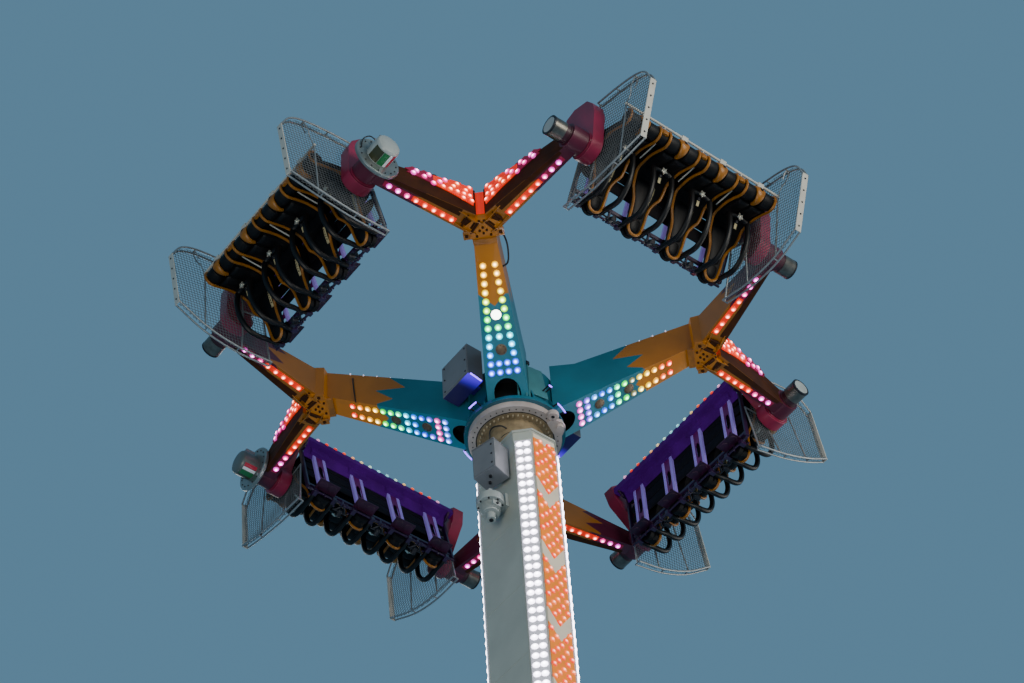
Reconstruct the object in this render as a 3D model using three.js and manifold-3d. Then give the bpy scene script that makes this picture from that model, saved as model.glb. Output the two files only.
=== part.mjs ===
// Spinning arm ride: a box mast with a slewing ring, a four-armed star and four rows of seats.
// Millimetres, +Z up along the mast, origin on the flat underside of the foot flange.

import * as THREE from 'three';
import { mergeVertices } from 'three/addons/utils/BufferGeometryUtils.js';
import Module from 'manifold-3d';

const wasm = await Module();
wasm.setup();

// Touching faces keep this gap.
const GAP = 0.3;

// Mast: a rectangle with cut corners, the wide faces looking along X.
const MAST_DEPTH = 770;
const MAST_WIDTH = 1200;
const MAST_CORNER = 190;
const MAST_TOP = 8236;
const FOOT_THICK = 60;
const RAIL_BOTTOM = 400;
const RAIL_TOP = 8010;
const RAIL_WIDTH = 236;
const RAIL_THICK = 24;
const PANEL_WIDTH = 372;
const PANEL_THICK = 16;

// Slewing ring.
const RING_Z = 8650;
const RING_HEIGHT = 110;
const RING_OUTER = 672;
const RING_SPLIT = 560;
const RING_INNER = 300;
const NECK_RADIUS = 430;

// Star.
const NODE_Z = 10262;
const NODE_RADIUS = 2852;
const PIVOT_Z = 10266;
const PIVOT_RADIUS = 3800;
const HALF_SPAN = 1770;
const HUB_BOTTOM = RING_Z + RING_HEIGHT + GAP;
const HUB_TOP = 9600;
const HUB_RADIUS = 640;
const ARM_START = 600;
const ARM_END = 2720;
const POCKET_CENTRE = 700;
const POCKET_RADIUS = 190;
const POCKET_HEIGHT = 330;
const HOUSING_RADIUS = 185;
const HOUSING_THICK = 260;
const TUBE_RADIUS = 138;
const TUBE_END = 2204;
const PIN_RADIUS = 80;
const PIN_SIDES = 20;

// Gondola: local axes are head direction, front of the riders, and along the row.
const SEAT_PITCH = 700;
const SEAT_COUNT = 4;
const FENCE_T = 1410;
const FENCE_TUBE = 22;
const SHAFT_HEAD = 600;
const SHAFT_FRONT = -425;
const SHAFT_RADIUS = 20;
const SHAFT_SIDES = 12;
const END_BOARD = 1327.7;
const END_BOARD_THICK = 34;
const SIDE_ARM_INNER = 1430;
const SIDE_ARM_OUTER = 1620;
const BOSS_FACE = HALF_SPAN - HOUSING_THICK / 2;

const GONDOLAS = [
  { name: 'a', azimuth: 180, lean: -17.8 },
  { name: 'b', azimuth: -90, lean: -28.7 },
  { name: 'c', azimuth: 90, lean: -12.1 },
  { name: 'd', azimuth: 0, lean: 0.2 },
];

const ARMS = [
  { name: 'near', azimuth: -135 },
  { name: 'right', azimuth: -45 },
  { name: 'far', azimuth: 45 },
  { name: 'left', azimuth: 135 },
];

const COLOURS = {
  mast: [0xc9cbc8, 0.45, 0.1],
  lampRail: [0xe6e6e2, 0.4, 0.1],
  panel: [0xd8c7a6, 0.5, 0.0],
  ring: [0xc9bcb4, 0.5, 0.3],
  ochre: [0xa8905c, 0.6, 0.3],
  grey: [0x8f9698, 0.5, 0.2],
  teal: [0x236e82, 0.4, 0.1],
  yellow: [0xc98a1f, 0.4, 0.1],
  magenta: [0x7a2048, 0.4, 0.1],
  purple: [0x3a2a6e, 0.4, 0.1],
  black: [0x16161a, 0.6, 0.0],
  motor: [0xd9dcda, 0.4, 0.1],
  galvanised: [0xb9bfc2, 0.4, 0.7],
};

// Solids.

function toSolid(geometry) {
  const bare = geometry.clone();
  for (const name of Object.keys(bare.attributes)) {
    if (name !== 'position') {
      bare.deleteAttribute(name);
    }
  }
  const merged = mergeVertices(bare, 1e-3);
  const vertProperties = new Float32Array(merged.attributes.position.array);
  const triVerts = new Uint32Array(merged.index.array);
  return new wasm.Manifold(new wasm.Mesh({ numProp: 3, vertProperties, triVerts }));
}

function toGeometry(solid) {
  const mesh = solid.getMesh();
  const geometry = new THREE.BufferGeometry();
  geometry.setAttribute('position', new THREE.BufferAttribute(new Float32Array(mesh.vertProperties), 3));
  geometry.setIndex(new THREE.BufferAttribute(new Uint32Array(mesh.triVerts), 1));
  return geometry;
}

function join(solids) {
  return solids.reduce((total, solid) => total.add(solid));
}

function place(solid, matrix) {
  return solid.transform(Array.from(matrix.elements));
}

// A box from its lowest to its highest corner.
function box(low, high) {
  const size = high.map((value, i) => value - low[i]);
  const geometry = new THREE.BoxGeometry(...size);
  geometry.translate(...low.map((value, i) => value + size[i] / 2));
  return toSolid(geometry);
}

// A round bar from one point to another.
function rod(from, to, radius, sides = 8) {
  const a = new THREE.Vector3(...from);
  const b = new THREE.Vector3(...to);
  const along = b.clone().sub(a);
  const geometry = new THREE.CylinderGeometry(radius, radius, along.length(), sides);
  const turn = new THREE.Quaternion().setFromUnitVectors(new THREE.Vector3(0, 1, 0), along.normalize());
  geometry.applyQuaternion(turn);
  geometry.translate(...a.add(b).multiplyScalar(0.5).toArray());
  return toSolid(geometry);
}

// A round bar that bends through a row of points.
function bentRod(points, radius, sides = 6, steps = 2) {
  const curve = new THREE.CatmullRomCurve3(points.map((p) => new THREE.Vector3(...p)), false, 'centripetal');
  const section = new THREE.Shape();
  for (let i = 0; i < sides; i += 1) {
    const angle = (i / sides) * Math.PI * 2;
    const x = radius * Math.cos(angle);
    const y = radius * Math.sin(angle);
    if (i === 0) {
      section.moveTo(x, y);
    } else {
      section.lineTo(x, y);
    }
  }
  section.closePath();
  const count = (points.length - 1) * steps;
  return toSolid(new THREE.ExtrudeGeometry(section, { steps: count, extrudePath: curve, bevelEnabled: false }));
}

// A flat outline in X and Y, thick in Z from z0 to z1.
function plate(outline, z0, z1, holes = []) {
  const shape = new THREE.Shape(outline.map((p) => new THREE.Vector2(...p)));
  for (const hole of holes) {
    shape.holes.push(new THREE.Path(hole.map((p) => new THREE.Vector2(...p))));
  }
  const geometry = new THREE.ExtrudeGeometry(shape, { depth: z1 - z0, bevelEnabled: false });
  geometry.translate(0, 0, z0);
  return toSolid(geometry);
}

function circle(radius, sides, x = 0, y = 0) {
  const points = [];
  for (let i = 0; i < sides; i += 1) {
    const angle = ((i + 0.5) / sides) * Math.PI * 2;
    points.push([x + radius * Math.cos(angle), y + radius * Math.sin(angle)]);
  }
  return points;
}

// A ring about Z.
function ring(inner, outer, z0, z1, sides = 40) {
  const profile = [[inner, z0], [outer, z0], [outer, z1], [inner, z1], [inner, z0]];
  return toSolid(new THREE.LatheGeometry(profile.map((p) => new THREE.Vector2(...p)), sides).rotateX(Math.PI / 2));
}

// A box beam between two upright four-sided sections, each given as x, half width, low z, high z.
function beam(start, end) {
  const corners = [];
  for (const [x, half, low, high] of [start, end]) {
    corners.push([x, -half, low], [x, half, low], [x, half, high], [x, -half, high]);
  }
  const faces = [
    [0, 2, 1], [0, 3, 2], [4, 5, 6], [4, 6, 7],
    [0, 1, 5], [0, 5, 4], [1, 2, 6], [1, 6, 5],
    [2, 3, 7], [2, 7, 6], [3, 0, 4], [3, 4, 7],
  ];
  const geometry = new THREE.BufferGeometry();
  geometry.setAttribute('position', new THREE.Float32BufferAttribute(corners.flat(), 3));
  geometry.setIndex(faces.flat());
  return toSolid(geometry);
}

const object = new THREE.Group();

function addPiece(name, solid, colour, matrix = null) {
  const [value, roughness, metalness] = COLOURS[colour];
  const material = new THREE.MeshStandardMaterial({ color: value, roughness, metalness });
  const mesh = new THREE.Mesh(toGeometry(solid), material);
  mesh.name = name;
  if (matrix) {
    mesh.applyMatrix4(matrix);
  }
  object.add(mesh);
}

function turnZ(degrees) {
  return new THREE.Matrix4().makeRotationZ(THREE.MathUtils.degToRad(degrees));
}

// Mast.

// Outline of the mast grown by a distance on every side.
function mastOutline(grow) {
  const x = MAST_DEPTH / 2 + grow;
  const y = MAST_WIDTH / 2 + grow;
  const c = MAST_CORNER + grow * (2 - Math.SQRT2);
  return [
    [-x + c, -y], [x - c, -y], [x, -y + c], [x, y - c],
    [x - c, y], [-x + c, y], [-x, y - c], [-x, -y + c],
  ];
}

function mastColumn() {
  const shaft = plate(mastOutline(0), FOOT_THICK + GAP, MAST_TOP);
  const topPlate = plate(mastOutline(25), MAST_TOP - 40, MAST_TOP);
  return shaft.add(topPlate);
}

function mastFoot() {
  const flange = plate(mastOutline(260), 0, FOOT_THICK);
  const gussets = [];
  const face = MAST_DEPTH / 2 + GAP;
  const side = MAST_WIDTH / 2 + GAP;
  const wedge = [[0, 0], [210, 0], [210, 60], [40, 320], [0, 320]];
  for (const sign of [-1, 1]) {
    for (const along of [-330, 0, 330]) {
      const upright = new THREE.Matrix4().makeRotationX(Math.PI / 2);
      const turned = turnZ(sign > 0 ? 0 : 180).multiply(new THREE.Matrix4().makeTranslation(face, along, FOOT_THICK));
      gussets.push(place(plate(wedge, -12, 12), turned.multiply(upright)));
    }
    for (const along of [-120, 120]) {
      const upright = new THREE.Matrix4().makeRotationX(Math.PI / 2);
      const turned = turnZ(sign > 0 ? 90 : -90).multiply(new THREE.Matrix4().makeTranslation(side, along, FOOT_THICK));
      gussets.push(place(plate(wedge, -12, 12), turned.multiply(upright)));
    }
  }
  return join([flange, ...gussets]);
}

// A lamp rail lies on one cut corner, at signs sx and sy.
function lampRail(sx, sy) {
  const rail = box([GAP, -RAIL_WIDTH / 2, RAIL_BOTTOM], [RAIL_THICK, RAIL_WIDTH / 2, RAIL_TOP]);
  const cx = sx * (MAST_DEPTH / 2 - MAST_CORNER / 2);
  const cy = sy * (MAST_WIDTH / 2 - MAST_CORNER / 2);
  const angle = THREE.MathUtils.radToDeg(Math.atan2(sy, sx));
  return place(rail, new THREE.Matrix4().makeTranslation(cx, cy, 0).multiply(turnZ(angle)));
}

function chevronPanel(sign) {
  const y0 = MAST_WIDTH / 2 + GAP;
  const panel = box([-PANEL_WIDTH / 2, y0, RAIL_BOTTOM], [PANEL_WIDTH / 2, y0 + PANEL_THICK, MAST_TOP - 90]);
  return sign > 0 ? panel : place(panel, turnZ(180));
}

// Grey box near the top of the wide face, turned a little on its bracket.
function junctionBox() {
  const body = box([45, -195, 7320], [355, 195, 7890]);
  const bracket = box([-60, -60, 7500], [55, 60, 7700]);
  const at = new THREE.Matrix4().makeTranslation(-MAST_DEPTH / 2 - 50, -130, 0);
  const turned = place(body.add(bracket), at.multiply(turnZ(180 + 14)));
  return turned.subtract(plate(mastOutline(GAP), 7000, 8000));
}

// Round gear motor below the box, on a bracket.
function gearMotor() {
  const x = MAST_DEPTH / 2 + GAP;
  const bracket = box([x, -120, 6860], [x + 60, 120, 7100]);
  const arm = box([x + 50, -50, 6920], [x + 150, 50, 7020]);
  const drum = rod([x + 240, 0, 6820], [x + 240, 0, 6950], 195, 20);
  const gearbox = box([x + 140, -110, 6945], [x + 330, 110, 7040]);
  const cap = rod([x + 240, 0, 6660], [x + 240, 0, 6825], 120, 16);
  const tail = rod([x + 240, 0, 6550], [x + 240, 0, 6665], 65, 12);
  const body = join([bracket, arm, drum, gearbox, cap, tail]);
  return place(body, turnZ(180).multiply(new THREE.Matrix4().makeTranslation(0, 110, 0)));
}

// Neck and bolted inner ring that stay still on the mast.
function slewRingInner() {
  const neck = ring(RING_INNER, NECK_RADIUS, MAST_TOP + GAP, RING_Z + 20);
  const race = ring(RING_INNER, RING_SPLIT - 10, RING_Z, RING_Z + RING_HEIGHT);
  return neck.add(race);
}

// Star.

// Outer ring with the lug plate and its knob.
function slewRingOuter() {
  const race = ring(RING_SPLIT + 6, RING_OUTER, RING_Z, RING_Z + RING_HEIGHT);
  const lug = plate([[560, -140], [660, -170], [760, -60], [760, 60], [660, 170], [560, 140]], RING_Z - 40, RING_Z + 20);
  const knob = rod([700, 0, RING_Z - 90], [700, 0, RING_Z - 20], 55, 14);
  const lugPart = place(lug.add(knob), turnZ(-62));
  return race.add(lugPart);
}

function hubBody() {
  const drum = ring(RING_INNER, HUB_RADIUS, HUB_BOTTOM, HUB_TOP, 32);
  const shelf = ring(RING_INNER, RING_OUTER + 60, HUB_BOTTOM, HUB_BOTTOM + 60, 32);
  const topPlate = ring(120, HUB_RADIUS, HUB_TOP - 50, HUB_TOP, 32);
  const ribs = [];
  const wedge = [[HUB_RADIUS - 30, 0], [RING_OUTER + 55, 0], [RING_OUTER + 55, 60], [HUB_RADIUS - 30, 420]];
  for (let i = 0; i < 4; i += 1) {
    for (const offset of [-15, 15]) {
      const upright = new THREE.Matrix4().makeTranslation(0, 0, HUB_BOTTOM + 40).multiply(
        new THREE.Matrix4().makeRotationX(Math.PI / 2),
      );
      ribs.push(place(plate(wedge, -14, 14), turnZ(i * 90 + offset).multiply(upright)));
    }
  }
  return join([drum, shelf, topPlate, ...ribs]);
}

// Block at the end of an arm that carries the fork, grown by a distance all round.
function forkBlock(grow) {
  const outline = [
    [-150, -150], [-120, -255], [70, -285], [190, -120], [190, 120], [70, 285], [-120, 255], [-150, 150],
  ];
  const scaled = outline.map((p) => {
    const scale = 1 + grow / 185;
    return [NODE_RADIUS + p[0] * scale, p[1] * scale];
  });
  return plate(scaled, PIVOT_Z - 320, PIVOT_Z + 300);
}

// Sections of an arm: distance from the axis, half width, low and high z.
const ARM_ROOT = [ARM_START, 300, PIVOT_Z - 1400, PIVOT_Z - 420];
const ARM_KNEE = [970, 283, PIVOT_Z - 1205, PIVOT_Z - 420];
const ARM_TIP = [ARM_END, 157, PIVOT_Z - 254, PIVOT_Z + 290];

// Main arm with its fork block, in a frame whose X runs out along the arm. The underside of its
// root has a round-ended pocket beside the drum.
function mainArm() {
  const root = beam(ARM_ROOT, ARM_KNEE);
  const outer = beam(ARM_KNEE, ARM_TIP);
  const overlap = box([ARM_KNEE[0] - 5, -280, ARM_KNEE[2] + 10], [ARM_KNEE[0] + 5, 280, ARM_KNEE[3] - 2]);
  const low = ARM_ROOT[2] - 10;
  const high = ARM_ROOT[2] + POCKET_HEIGHT;
  const roundEnd = plate(circle(POCKET_RADIUS, 24, POCKET_CENTRE, 0), low, high);
  const mouth = box([HUB_RADIUS - 20, -POCKET_RADIUS, low], [POCKET_CENTRE, POCKET_RADIUS, high]);
  const drumCut = ring(100, HUB_RADIUS + GAP, HUB_BOTTOM, ARM_ROOT[3] + 100, 32);
  return join([root, overlap, outer, forkBlock(0)]).subtract(roundEnd.add(mouth)).subtract(drumCut);
}

// Frame of a gondola: X is the head direction, Y the riders' front, Z along the row.
function gondolaMatrix({ azimuth, lean }) {
  const turn = turnZ(azimuth);
  const out = new THREE.Matrix4().makeTranslation(PIVOT_RADIUS, 0, PIVOT_Z);
  const angle = THREE.MathUtils.degToRad(-90 + lean);
  const head = new THREE.Vector3(Math.cos(angle), 0, Math.sin(angle));
  const front = new THREE.Vector3(-Math.sin(angle), 0, Math.cos(angle));
  const along = new THREE.Vector3().crossVectors(head, front);
  const axes = new THREE.Matrix4().makeBasis(head, front, along);
  return turn.multiply(out).multiply(axes);
}

// Fork branch from the fork block to a pivot housing, in a frame turned to the gondola:
// X points out from the mast and Y along the row, at the side given by sign.
function forkBranch(sign, end) {
  const corner = NODE_RADIUS * Math.SQRT1_2;
  const startPoint = new THREE.Vector3(corner, sign * corner, PIVOT_Z);
  const endPoint = new THREE.Vector3(PIVOT_RADIUS, sign * HALF_SPAN, PIVOT_Z);
  const reach = startPoint.distanceTo(endPoint);
  const angle = Math.atan2(endPoint.y - startPoint.y, endPoint.x - startPoint.x);
  const along = new THREE.Matrix4().makeTranslation(corner, sign * corner, PIVOT_Z).multiply(
    new THREE.Matrix4().makeRotationZ(angle),
  );
  const beamPart = place(beam([200, 165, -290, 280], [reach - 60, 100, -150, 150]), along);
  const inner = HALF_SPAN - HOUSING_THICK / 2;
  const outer = HALF_SPAN + HOUSING_THICK / 2;
  const at = (y) => [PIVOT_RADIUS, sign * y, PIVOT_Z];
  const parts = [beamPart, rod(at(inner), at(outer), HOUSING_RADIUS, 24)];
  if (end === 'tube') {
    parts.push(rod(at(outer - 10), at(TUBE_END), TUBE_RADIUS, 24));
  }
  const boreRadius = (PIN_RADIUS + GAP) / Math.cos(Math.PI / PIN_SIDES);
  const bore = rod(at(inner - 20), at(outer - 40), boreRadius, PIN_SIDES);
  const block = place(forkBlock(GAP), turnZ(sign * 45));
  return join(parts).subtract(bore).subtract(block);
}

// Drive motor: a large disc, a round body and a terminal box on the outside of a housing.
function driveMotor(sign) {
  const face = HALF_SPAN + HOUSING_THICK / 2 + GAP;
  const at = (y) => [PIVOT_RADIUS, sign * y, PIVOT_Z];
  const boss = rod(at(face), at(face + 40), 100, 16);
  const disc = rod(at(face + 34), at(face + 104), 360, 28);
  const body = rod(at(face + 98), at(face + 330), 190, 24);
  const fanCover = rod(at(face + 325), at(face + 390), 160, 24);
  const low = [PIVOT_RADIUS - 90, 0, PIVOT_Z + 150];
  const high = [PIVOT_RADIUS + 90, 0, PIVOT_Z + 270];
  const ends = [sign * (face + 130), sign * (face + 280)].sort((a, b) => a - b);
  const terminal = box([low[0], ends[0], low[2]], [high[0], ends[1], high[2]]);
  return join([boss, disc, body, fanCover, terminal]);
}

// Cabinet on a bracket between two arms, in a frame whose X runs outwards.
function cabinet(start, side, width, depth, height, low) {
  const y = side - width / 2;
  const bodyPart = box([start, y, low], [start + depth, y + width, low + height]);
  const bracket = box([HUB_RADIUS + GAP, -90, low + 120], [start + 10, 90, low + 220]);
  return bodyPart.add(bracket);
}

// Gondola.

function seatPositions() {
  const first = (-(SEAT_COUNT - 1) / 2) * SEAT_PITCH;
  return Array.from({ length: SEAT_COUNT }, (_, i) => first + i * SEAT_PITCH);
}

// Outline of a side arm, from the lamp beam to the pivot.
const SIDE_ARM = [
  [-650, -665], [-400, -580], [-60, -215], [90, -215], [215, -90], [215, 90], [90, 215], [-90, 215],
  [-560, 60], [-720, -50], [-825, -230], [-780, -520],
];
const END_BOARD_OUTLINE = [
  [-630, -620], [-515, -620], [-420, -520], [-420, -450], [560, -450], [560, -380], [-500, -380], [-630, -500],
];

// Lamp beam, rails and boards behind the seats, side arms, end boards, shaft lugs and axle pins.
function gondolaFrame() {
  const parts = [box([-632, -624, -SIDE_ARM_INNER - 10], [-512, -504, SIDE_ARM_INNER + 10])];
  for (const t of seatPositions()) {
    for (const side of [-1, 1]) {
      const z = t + side * 88;
      parts.push(box([-480, -470, z - 27], [514, -420, z + 27]));
      parts.push(box([-530, -530, z - 27], [-475, -440, z + 27]));
    }
    parts.push(box([-400, -462, t - 70], [470, -450, t + 70]));
  }
  for (const [low, high] of [[-465, 180], [425, 475]]) {
    parts.push(box([low, -424, -END_BOARD - 5], [high, -376, END_BOARD + 5]));
  }
  for (const side of [-1, 1]) {
    const board = [side * END_BOARD, side * (END_BOARD + END_BOARD_THICK)].sort((a, b) => a - b);
    const arm = [side * SIDE_ARM_INNER, side * SIDE_ARM_OUTER].sort((a, b) => a - b);
    parts.push(plate(END_BOARD_OUTLINE, board[0], board[1]));
    parts.push(plate(SIDE_ARM, arm[0], arm[1]));
    parts.push(rod([0, 0, side * (SIDE_ARM_INNER + 20)], [0, 0, side * 1858], PIN_RADIUS, PIN_SIDES));
    parts.push(rod([0, 0, side * (SIDE_ARM_OUTER - 10)], [0, 0, side * (BOSS_FACE - GAP)], 130, 20));
  }
  const lug = [[425, -425], [560, -425], [625, -450], [645, -425], [625, -385], [560, -376], [425, -376]];
  for (const z of [-1.5 * SEAT_PITCH, -SEAT_PITCH, 0, SEAT_PITCH, 1.5 * SEAT_PITCH]) {
    parts.push(plate(lug, z - 12, z + 12));
  }
  const boreRadius = (SHAFT_RADIUS + GAP) / Math.cos(Math.PI / SHAFT_SIDES);
  const bore = rod([SHAFT_HEAD, SHAFT_FRONT, -1500], [SHAFT_HEAD, SHAFT_FRONT, 1500], boreRadius, SHAFT_SIDES);
  return join(parts).subtract(bore);
}

// Outline of a seat back, along the head direction and across the seat.
const SEAT_BACK = [
  [-330, -225], [30, -225], [300, -115], [470, -100], [470, 100], [300, 115], [30, 225], [-330, 225],
];

// One seat: back pad, head pad, seat pan and a round lobe for each knee.
function seatPads(t) {
  const upright = new THREE.Matrix4().makeTranslation(0, 0, t).multiply(
    new THREE.Matrix4().makeRotationX(Math.PI / 2),
  );
  const back = place(plate(SEAT_BACK, 270, 376 - GAP), upright);
  const head = box([460, -330, t - 100], [740, -180, t + 100]);
  const pan = box([-430, -376 + GAP, t - 250], [-300, 440, t + 250]);
  const lobes = [-1, 1].map((side) => rod([-470, 440, t + side * 45], [-470, 440, t + side * 270], 125, 12));
  return join([back, head, pan, ...lobes]);
}

// Four seats on the bar that carries them.
function gondolaSeats() {
  const reach = END_BOARD - GAP;
  const carrier = box([-420, -340, -reach], [-370, -280, reach]);
  return join([carrier, ...seatPositions().map(seatPads)]);
}

// Over-the-shoulder bars of the four seats on one shaft.
function gondolaHarness() {
  const reach = END_BOARD + END_BOARD_THICK - 2;
  const parts = [rod([SHAFT_HEAD, SHAFT_FRONT, -reach], [SHAFT_HEAD, SHAFT_FRONT, reach], SHAFT_RADIUS, SHAFT_SIDES)];
  for (const t of seatPositions()) {
    for (const side of [-1, 1]) {
      const z = t + side * 165;
      const path = [
        [SHAFT_HEAD, SHAFT_FRONT - 4, z],
        [SHAFT_HEAD + 20, SHAFT_FRONT + 135, z],
        [SHAFT_HEAD - 22, -20, z],
        [490, 150, z],
        [250, 235, z],
        [40, 218, z],
        [-220, 120, z],
      ];
      parts.push(bentRod(path, 36, 4, 1));
    }
    parts.push(rod([-205, 128, t - 170], [-205, 128, t + 170], 34, 5));
  }
  return join(parts);
}

// Fence outline in the plane across the row.
const FENCE_FRONT = [[-816, 1032], [152, 1173]];
const FENCE_HEAD = [[152, 1173, 0], [470, 727, 50], [704, 226, 60], [840, -300, 50]];
const FENCE_FOOT = [[-816, 1032], [-1010, 830], [-1060, 560], [-1000, 150], [-900, -245]];
const LEG_BAR = [-642, 479];

// Both end fences and the leg guard between them.
function gondolaGuard() {
  const parts = [];
  for (const side of [-1, 1]) {
    const z = side * (FENCE_T - FENCE_TUBE);
    const flat = (list) => list.map(([h, n]) => [h, n, z]);
    const tube = (from, to, radius, sides = 4) => {
      parts.push(rod([...from, z], [...to, z], radius, sides));
    };
    const flared = FENCE_HEAD.map(([h, n, out]) => [h, n, z + side * out]);
    parts.push(bentRod(flared, FENCE_TUBE, 6, 2));
    parts.push(bentRod(flat(FENCE_FOOT), FENCE_TUBE, 6, 1));
    tube(FENCE_FRONT[0], FENCE_FRONT[1], 21);
    tube([-905, -250], [230, 40], 18);
    tube([230, 40], [650, 150], 18);
    parts.push(rod([840, -298, z + side * 50], [-60, -400, z], 16, 4));
    tube([-60, -405], [-60, -10], 16);
    tube(LEG_BAR, [-1040, 560], 16);
    tube(LEG_BAR, [430, 745], 16);
    const hub = [z - side * 20, side * (SIDE_ARM_INNER - GAP)].sort((a, b) => a - b);
    parts.push(plate(circle(150, 12), hub[0], hub[1]));
  }
  const reach = FENCE_T - FENCE_TUBE;
  parts.push(rod([...LEG_BAR, -reach], [...LEG_BAR, reach], 22, 8));
  for (const z of [-SEAT_PITCH, 0, SEAT_PITCH]) {
    parts.push(bentRod([[...LEG_BAR, z], [-560, 300, z], [-440, 140, z], [-289, 6, z]], 12, 4, 1));
  }
  return join(parts);
}

// Assembly.

addPiece('mast_column', mastColumn(), 'mast');
addPiece('mast_foot', mastFoot(), 'mast');
for (const [name, sx, sy] of [['near', -1, -1], ['right', 1, -1], ['far', 1, 1], ['left', -1, 1]]) {
  addPiece(`lamp_rail_${name}`, lampRail(sx, sy), 'lampRail');
}
addPiece('chevron_panel_front', chevronPanel(-1), 'panel');
addPiece('chevron_panel_back', chevronPanel(1), 'panel');
addPiece('junction_box', junctionBox(), 'grey');
addPiece('gear_motor', gearMotor(), 'motor');
addPiece('slew_ring_inner', slewRingInner(), 'ochre');
addPiece('slew_ring_outer', slewRingOuter(), 'ring');

addPiece('hub_body', hubBody(), 'teal');
for (const { name, azimuth } of ARMS) {
  addPiece(`arm_${name}`, mainArm(), 'teal', turnZ(azimuth));
}
addPiece('cabinet_large', cabinet(760, -10, 600, 272, 660, 9196), 'grey', turnZ(180));
addPiece('cabinet_small', cabinet(712, 0, 480, 350, 560, 9196), 'grey');

// Outside ends: a stub tube, a drive motor or nothing; first the side at -Y, then +Y.
const HOUSING_ENDS = { a: ['tube', 'motor'], b: ['tube', 'tube'], c: ['tube', 'motor'], d: ['tube', 'tube'] };

for (const gondola of GONDOLAS) {
  const { name, azimuth } = gondola;
  const ends = HOUSING_ENDS[name];
  addPiece(`fork_${name}_left`, forkBranch(-1, ends[0]), 'magenta', turnZ(azimuth));
  addPiece(`fork_${name}_right`, forkBranch(1, ends[1]), 'magenta', turnZ(azimuth));
  if (ends[0] === 'motor') {
    addPiece(`drive_motor_${name}`, driveMotor(-1), 'motor', turnZ(azimuth));
  }
  if (ends[1] === 'motor') {
    addPiece(`drive_motor_${name}`, driveMotor(1), 'motor', turnZ(azimuth));
  }
  const frame = gondolaMatrix(gondola);
  addPiece(`gondola_${name}_frame`, gondolaFrame(), 'purple', frame);
  addPiece(`gondola_${name}_seats`, gondolaSeats(), 'black', frame);
  addPiece(`gondola_${name}_harness`, gondolaHarness(), 'black', frame);
  addPiece(`gondola_${name}_guard`, gondolaGuard(), 'galvanised', frame);
}

export default object;
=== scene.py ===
"""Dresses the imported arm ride: box mast, slewing ring, lamp-lit star and four seat rows hung heads down."""

from math import atan2, ceil, cos, hypot, pi, radians, sin, sqrt

import bmesh
import bpy
from bpy.props import FloatProperty, FloatVectorProperty
from mathutils import Matrix, Vector


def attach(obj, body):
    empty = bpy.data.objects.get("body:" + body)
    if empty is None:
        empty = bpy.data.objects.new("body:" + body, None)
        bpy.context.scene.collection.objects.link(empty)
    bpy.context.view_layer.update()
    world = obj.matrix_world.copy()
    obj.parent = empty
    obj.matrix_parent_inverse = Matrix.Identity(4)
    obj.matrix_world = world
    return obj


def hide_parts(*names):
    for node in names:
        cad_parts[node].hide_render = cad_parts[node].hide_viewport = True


bl_info = {
    "name": "Arm Ride Dressing",
    "version": (1, 0, 0),
    "blender": (4, 5, 0),
    "location": "3D View > Sidebar > Ride",
    "description": "Builds the visible surfaces, lamps and seats of an arm ride around its solid frame",
    "category": "Object",
}

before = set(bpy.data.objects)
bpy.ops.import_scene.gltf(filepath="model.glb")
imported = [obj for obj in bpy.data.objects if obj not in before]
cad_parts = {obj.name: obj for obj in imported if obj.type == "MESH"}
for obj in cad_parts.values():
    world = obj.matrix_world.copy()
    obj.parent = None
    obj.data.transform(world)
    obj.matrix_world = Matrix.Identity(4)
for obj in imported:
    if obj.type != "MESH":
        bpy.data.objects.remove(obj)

# Mast, in metres, as in the solid frame.
MAST_DEPTH = 0.77
MAST_WIDTH = 1.2
MAST_CORNER = 0.19
MAST_TOP = 8.236
RAIL_THICK = 0.024
RAIL_TOP = 8.01
RAIL_BOTTOM = 0.4
PANEL_FACE = MAST_WIDTH / 2 + 0.0163
CHEVRON_PITCH = 1.258
CHEVRON_NOTCH = 5.458
CHEVRON_DEPTH = 0.99
CHEVRON_TOP = 8.06

# Slewing ring and star.
RING_Z = 8.65
PIVOT_Z = 10.266
PIVOT_RADIUS = 3.8
NODE_RADIUS = 2.852
ARM_ROOT = (0.6, 0.3, PIVOT_Z - 1.4, PIVOT_Z - 0.42)
ARM_KNEE = (0.97, 0.283, PIVOT_Z - 1.205, PIVOT_Z - 0.42)
ARM_TIP = (2.72, 0.157, PIVOT_Z - 0.254, PIVOT_Z + 0.29)
HALF_SPAN = 1.77
HOUSING_THICK = 0.26
TUBE_RADIUS = 0.138
TUBE_END = 2.204

# Gondola, in its own directions: head of the riders, front of the riders, along the row.
SEAT_PITCH = 0.7
SEATS = (-1.05, -0.35, 0.35, 1.05)
SIDE_ARM_INNER = 1.43
SIDE_ARM_OUTER = 1.62
END_BOARD = 1.3277
SHAFT = (0.6, -0.425)
LEG_BAR = (-0.642, 0.479)
FENCE_T = 1.388

ARMS = {"near": -135, "right": -45, "far": 45, "left": 135}
GONDOLAS = {"a": (180, -17.8), "b": (-90, -28.7), "c": (90, -12.1), "d": (0, 0.2)}
MOTOR_SIDES = {"a": 1, "c": 1}
BRANCHES = [(name, side, sign) for name in GONDOLAS for side, sign in (("left", -1), ("right", 1))]

# Camera, placed and turned as the photograph was taken.
CAMERA_PLACE = (-16.517, -19.316, PIVOT_Z - 30.011)
CAMERA_RIGHT = (0.79508, -0.60446, -0.04970)
CAMERA_UP = (-0.44114, -0.63259, 0.63657)
CAMERA_LENS = 93.68


# Materials.


def linear(hex_colour):
    values = [int(hex_colour[i:i + 2], 16) / 255 for i in (1, 3, 5)]
    return [v / 12.92 if v <= 0.04045 else ((v + 0.055) / 1.055) ** 2.4 for v in values] + [1.0]


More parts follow.
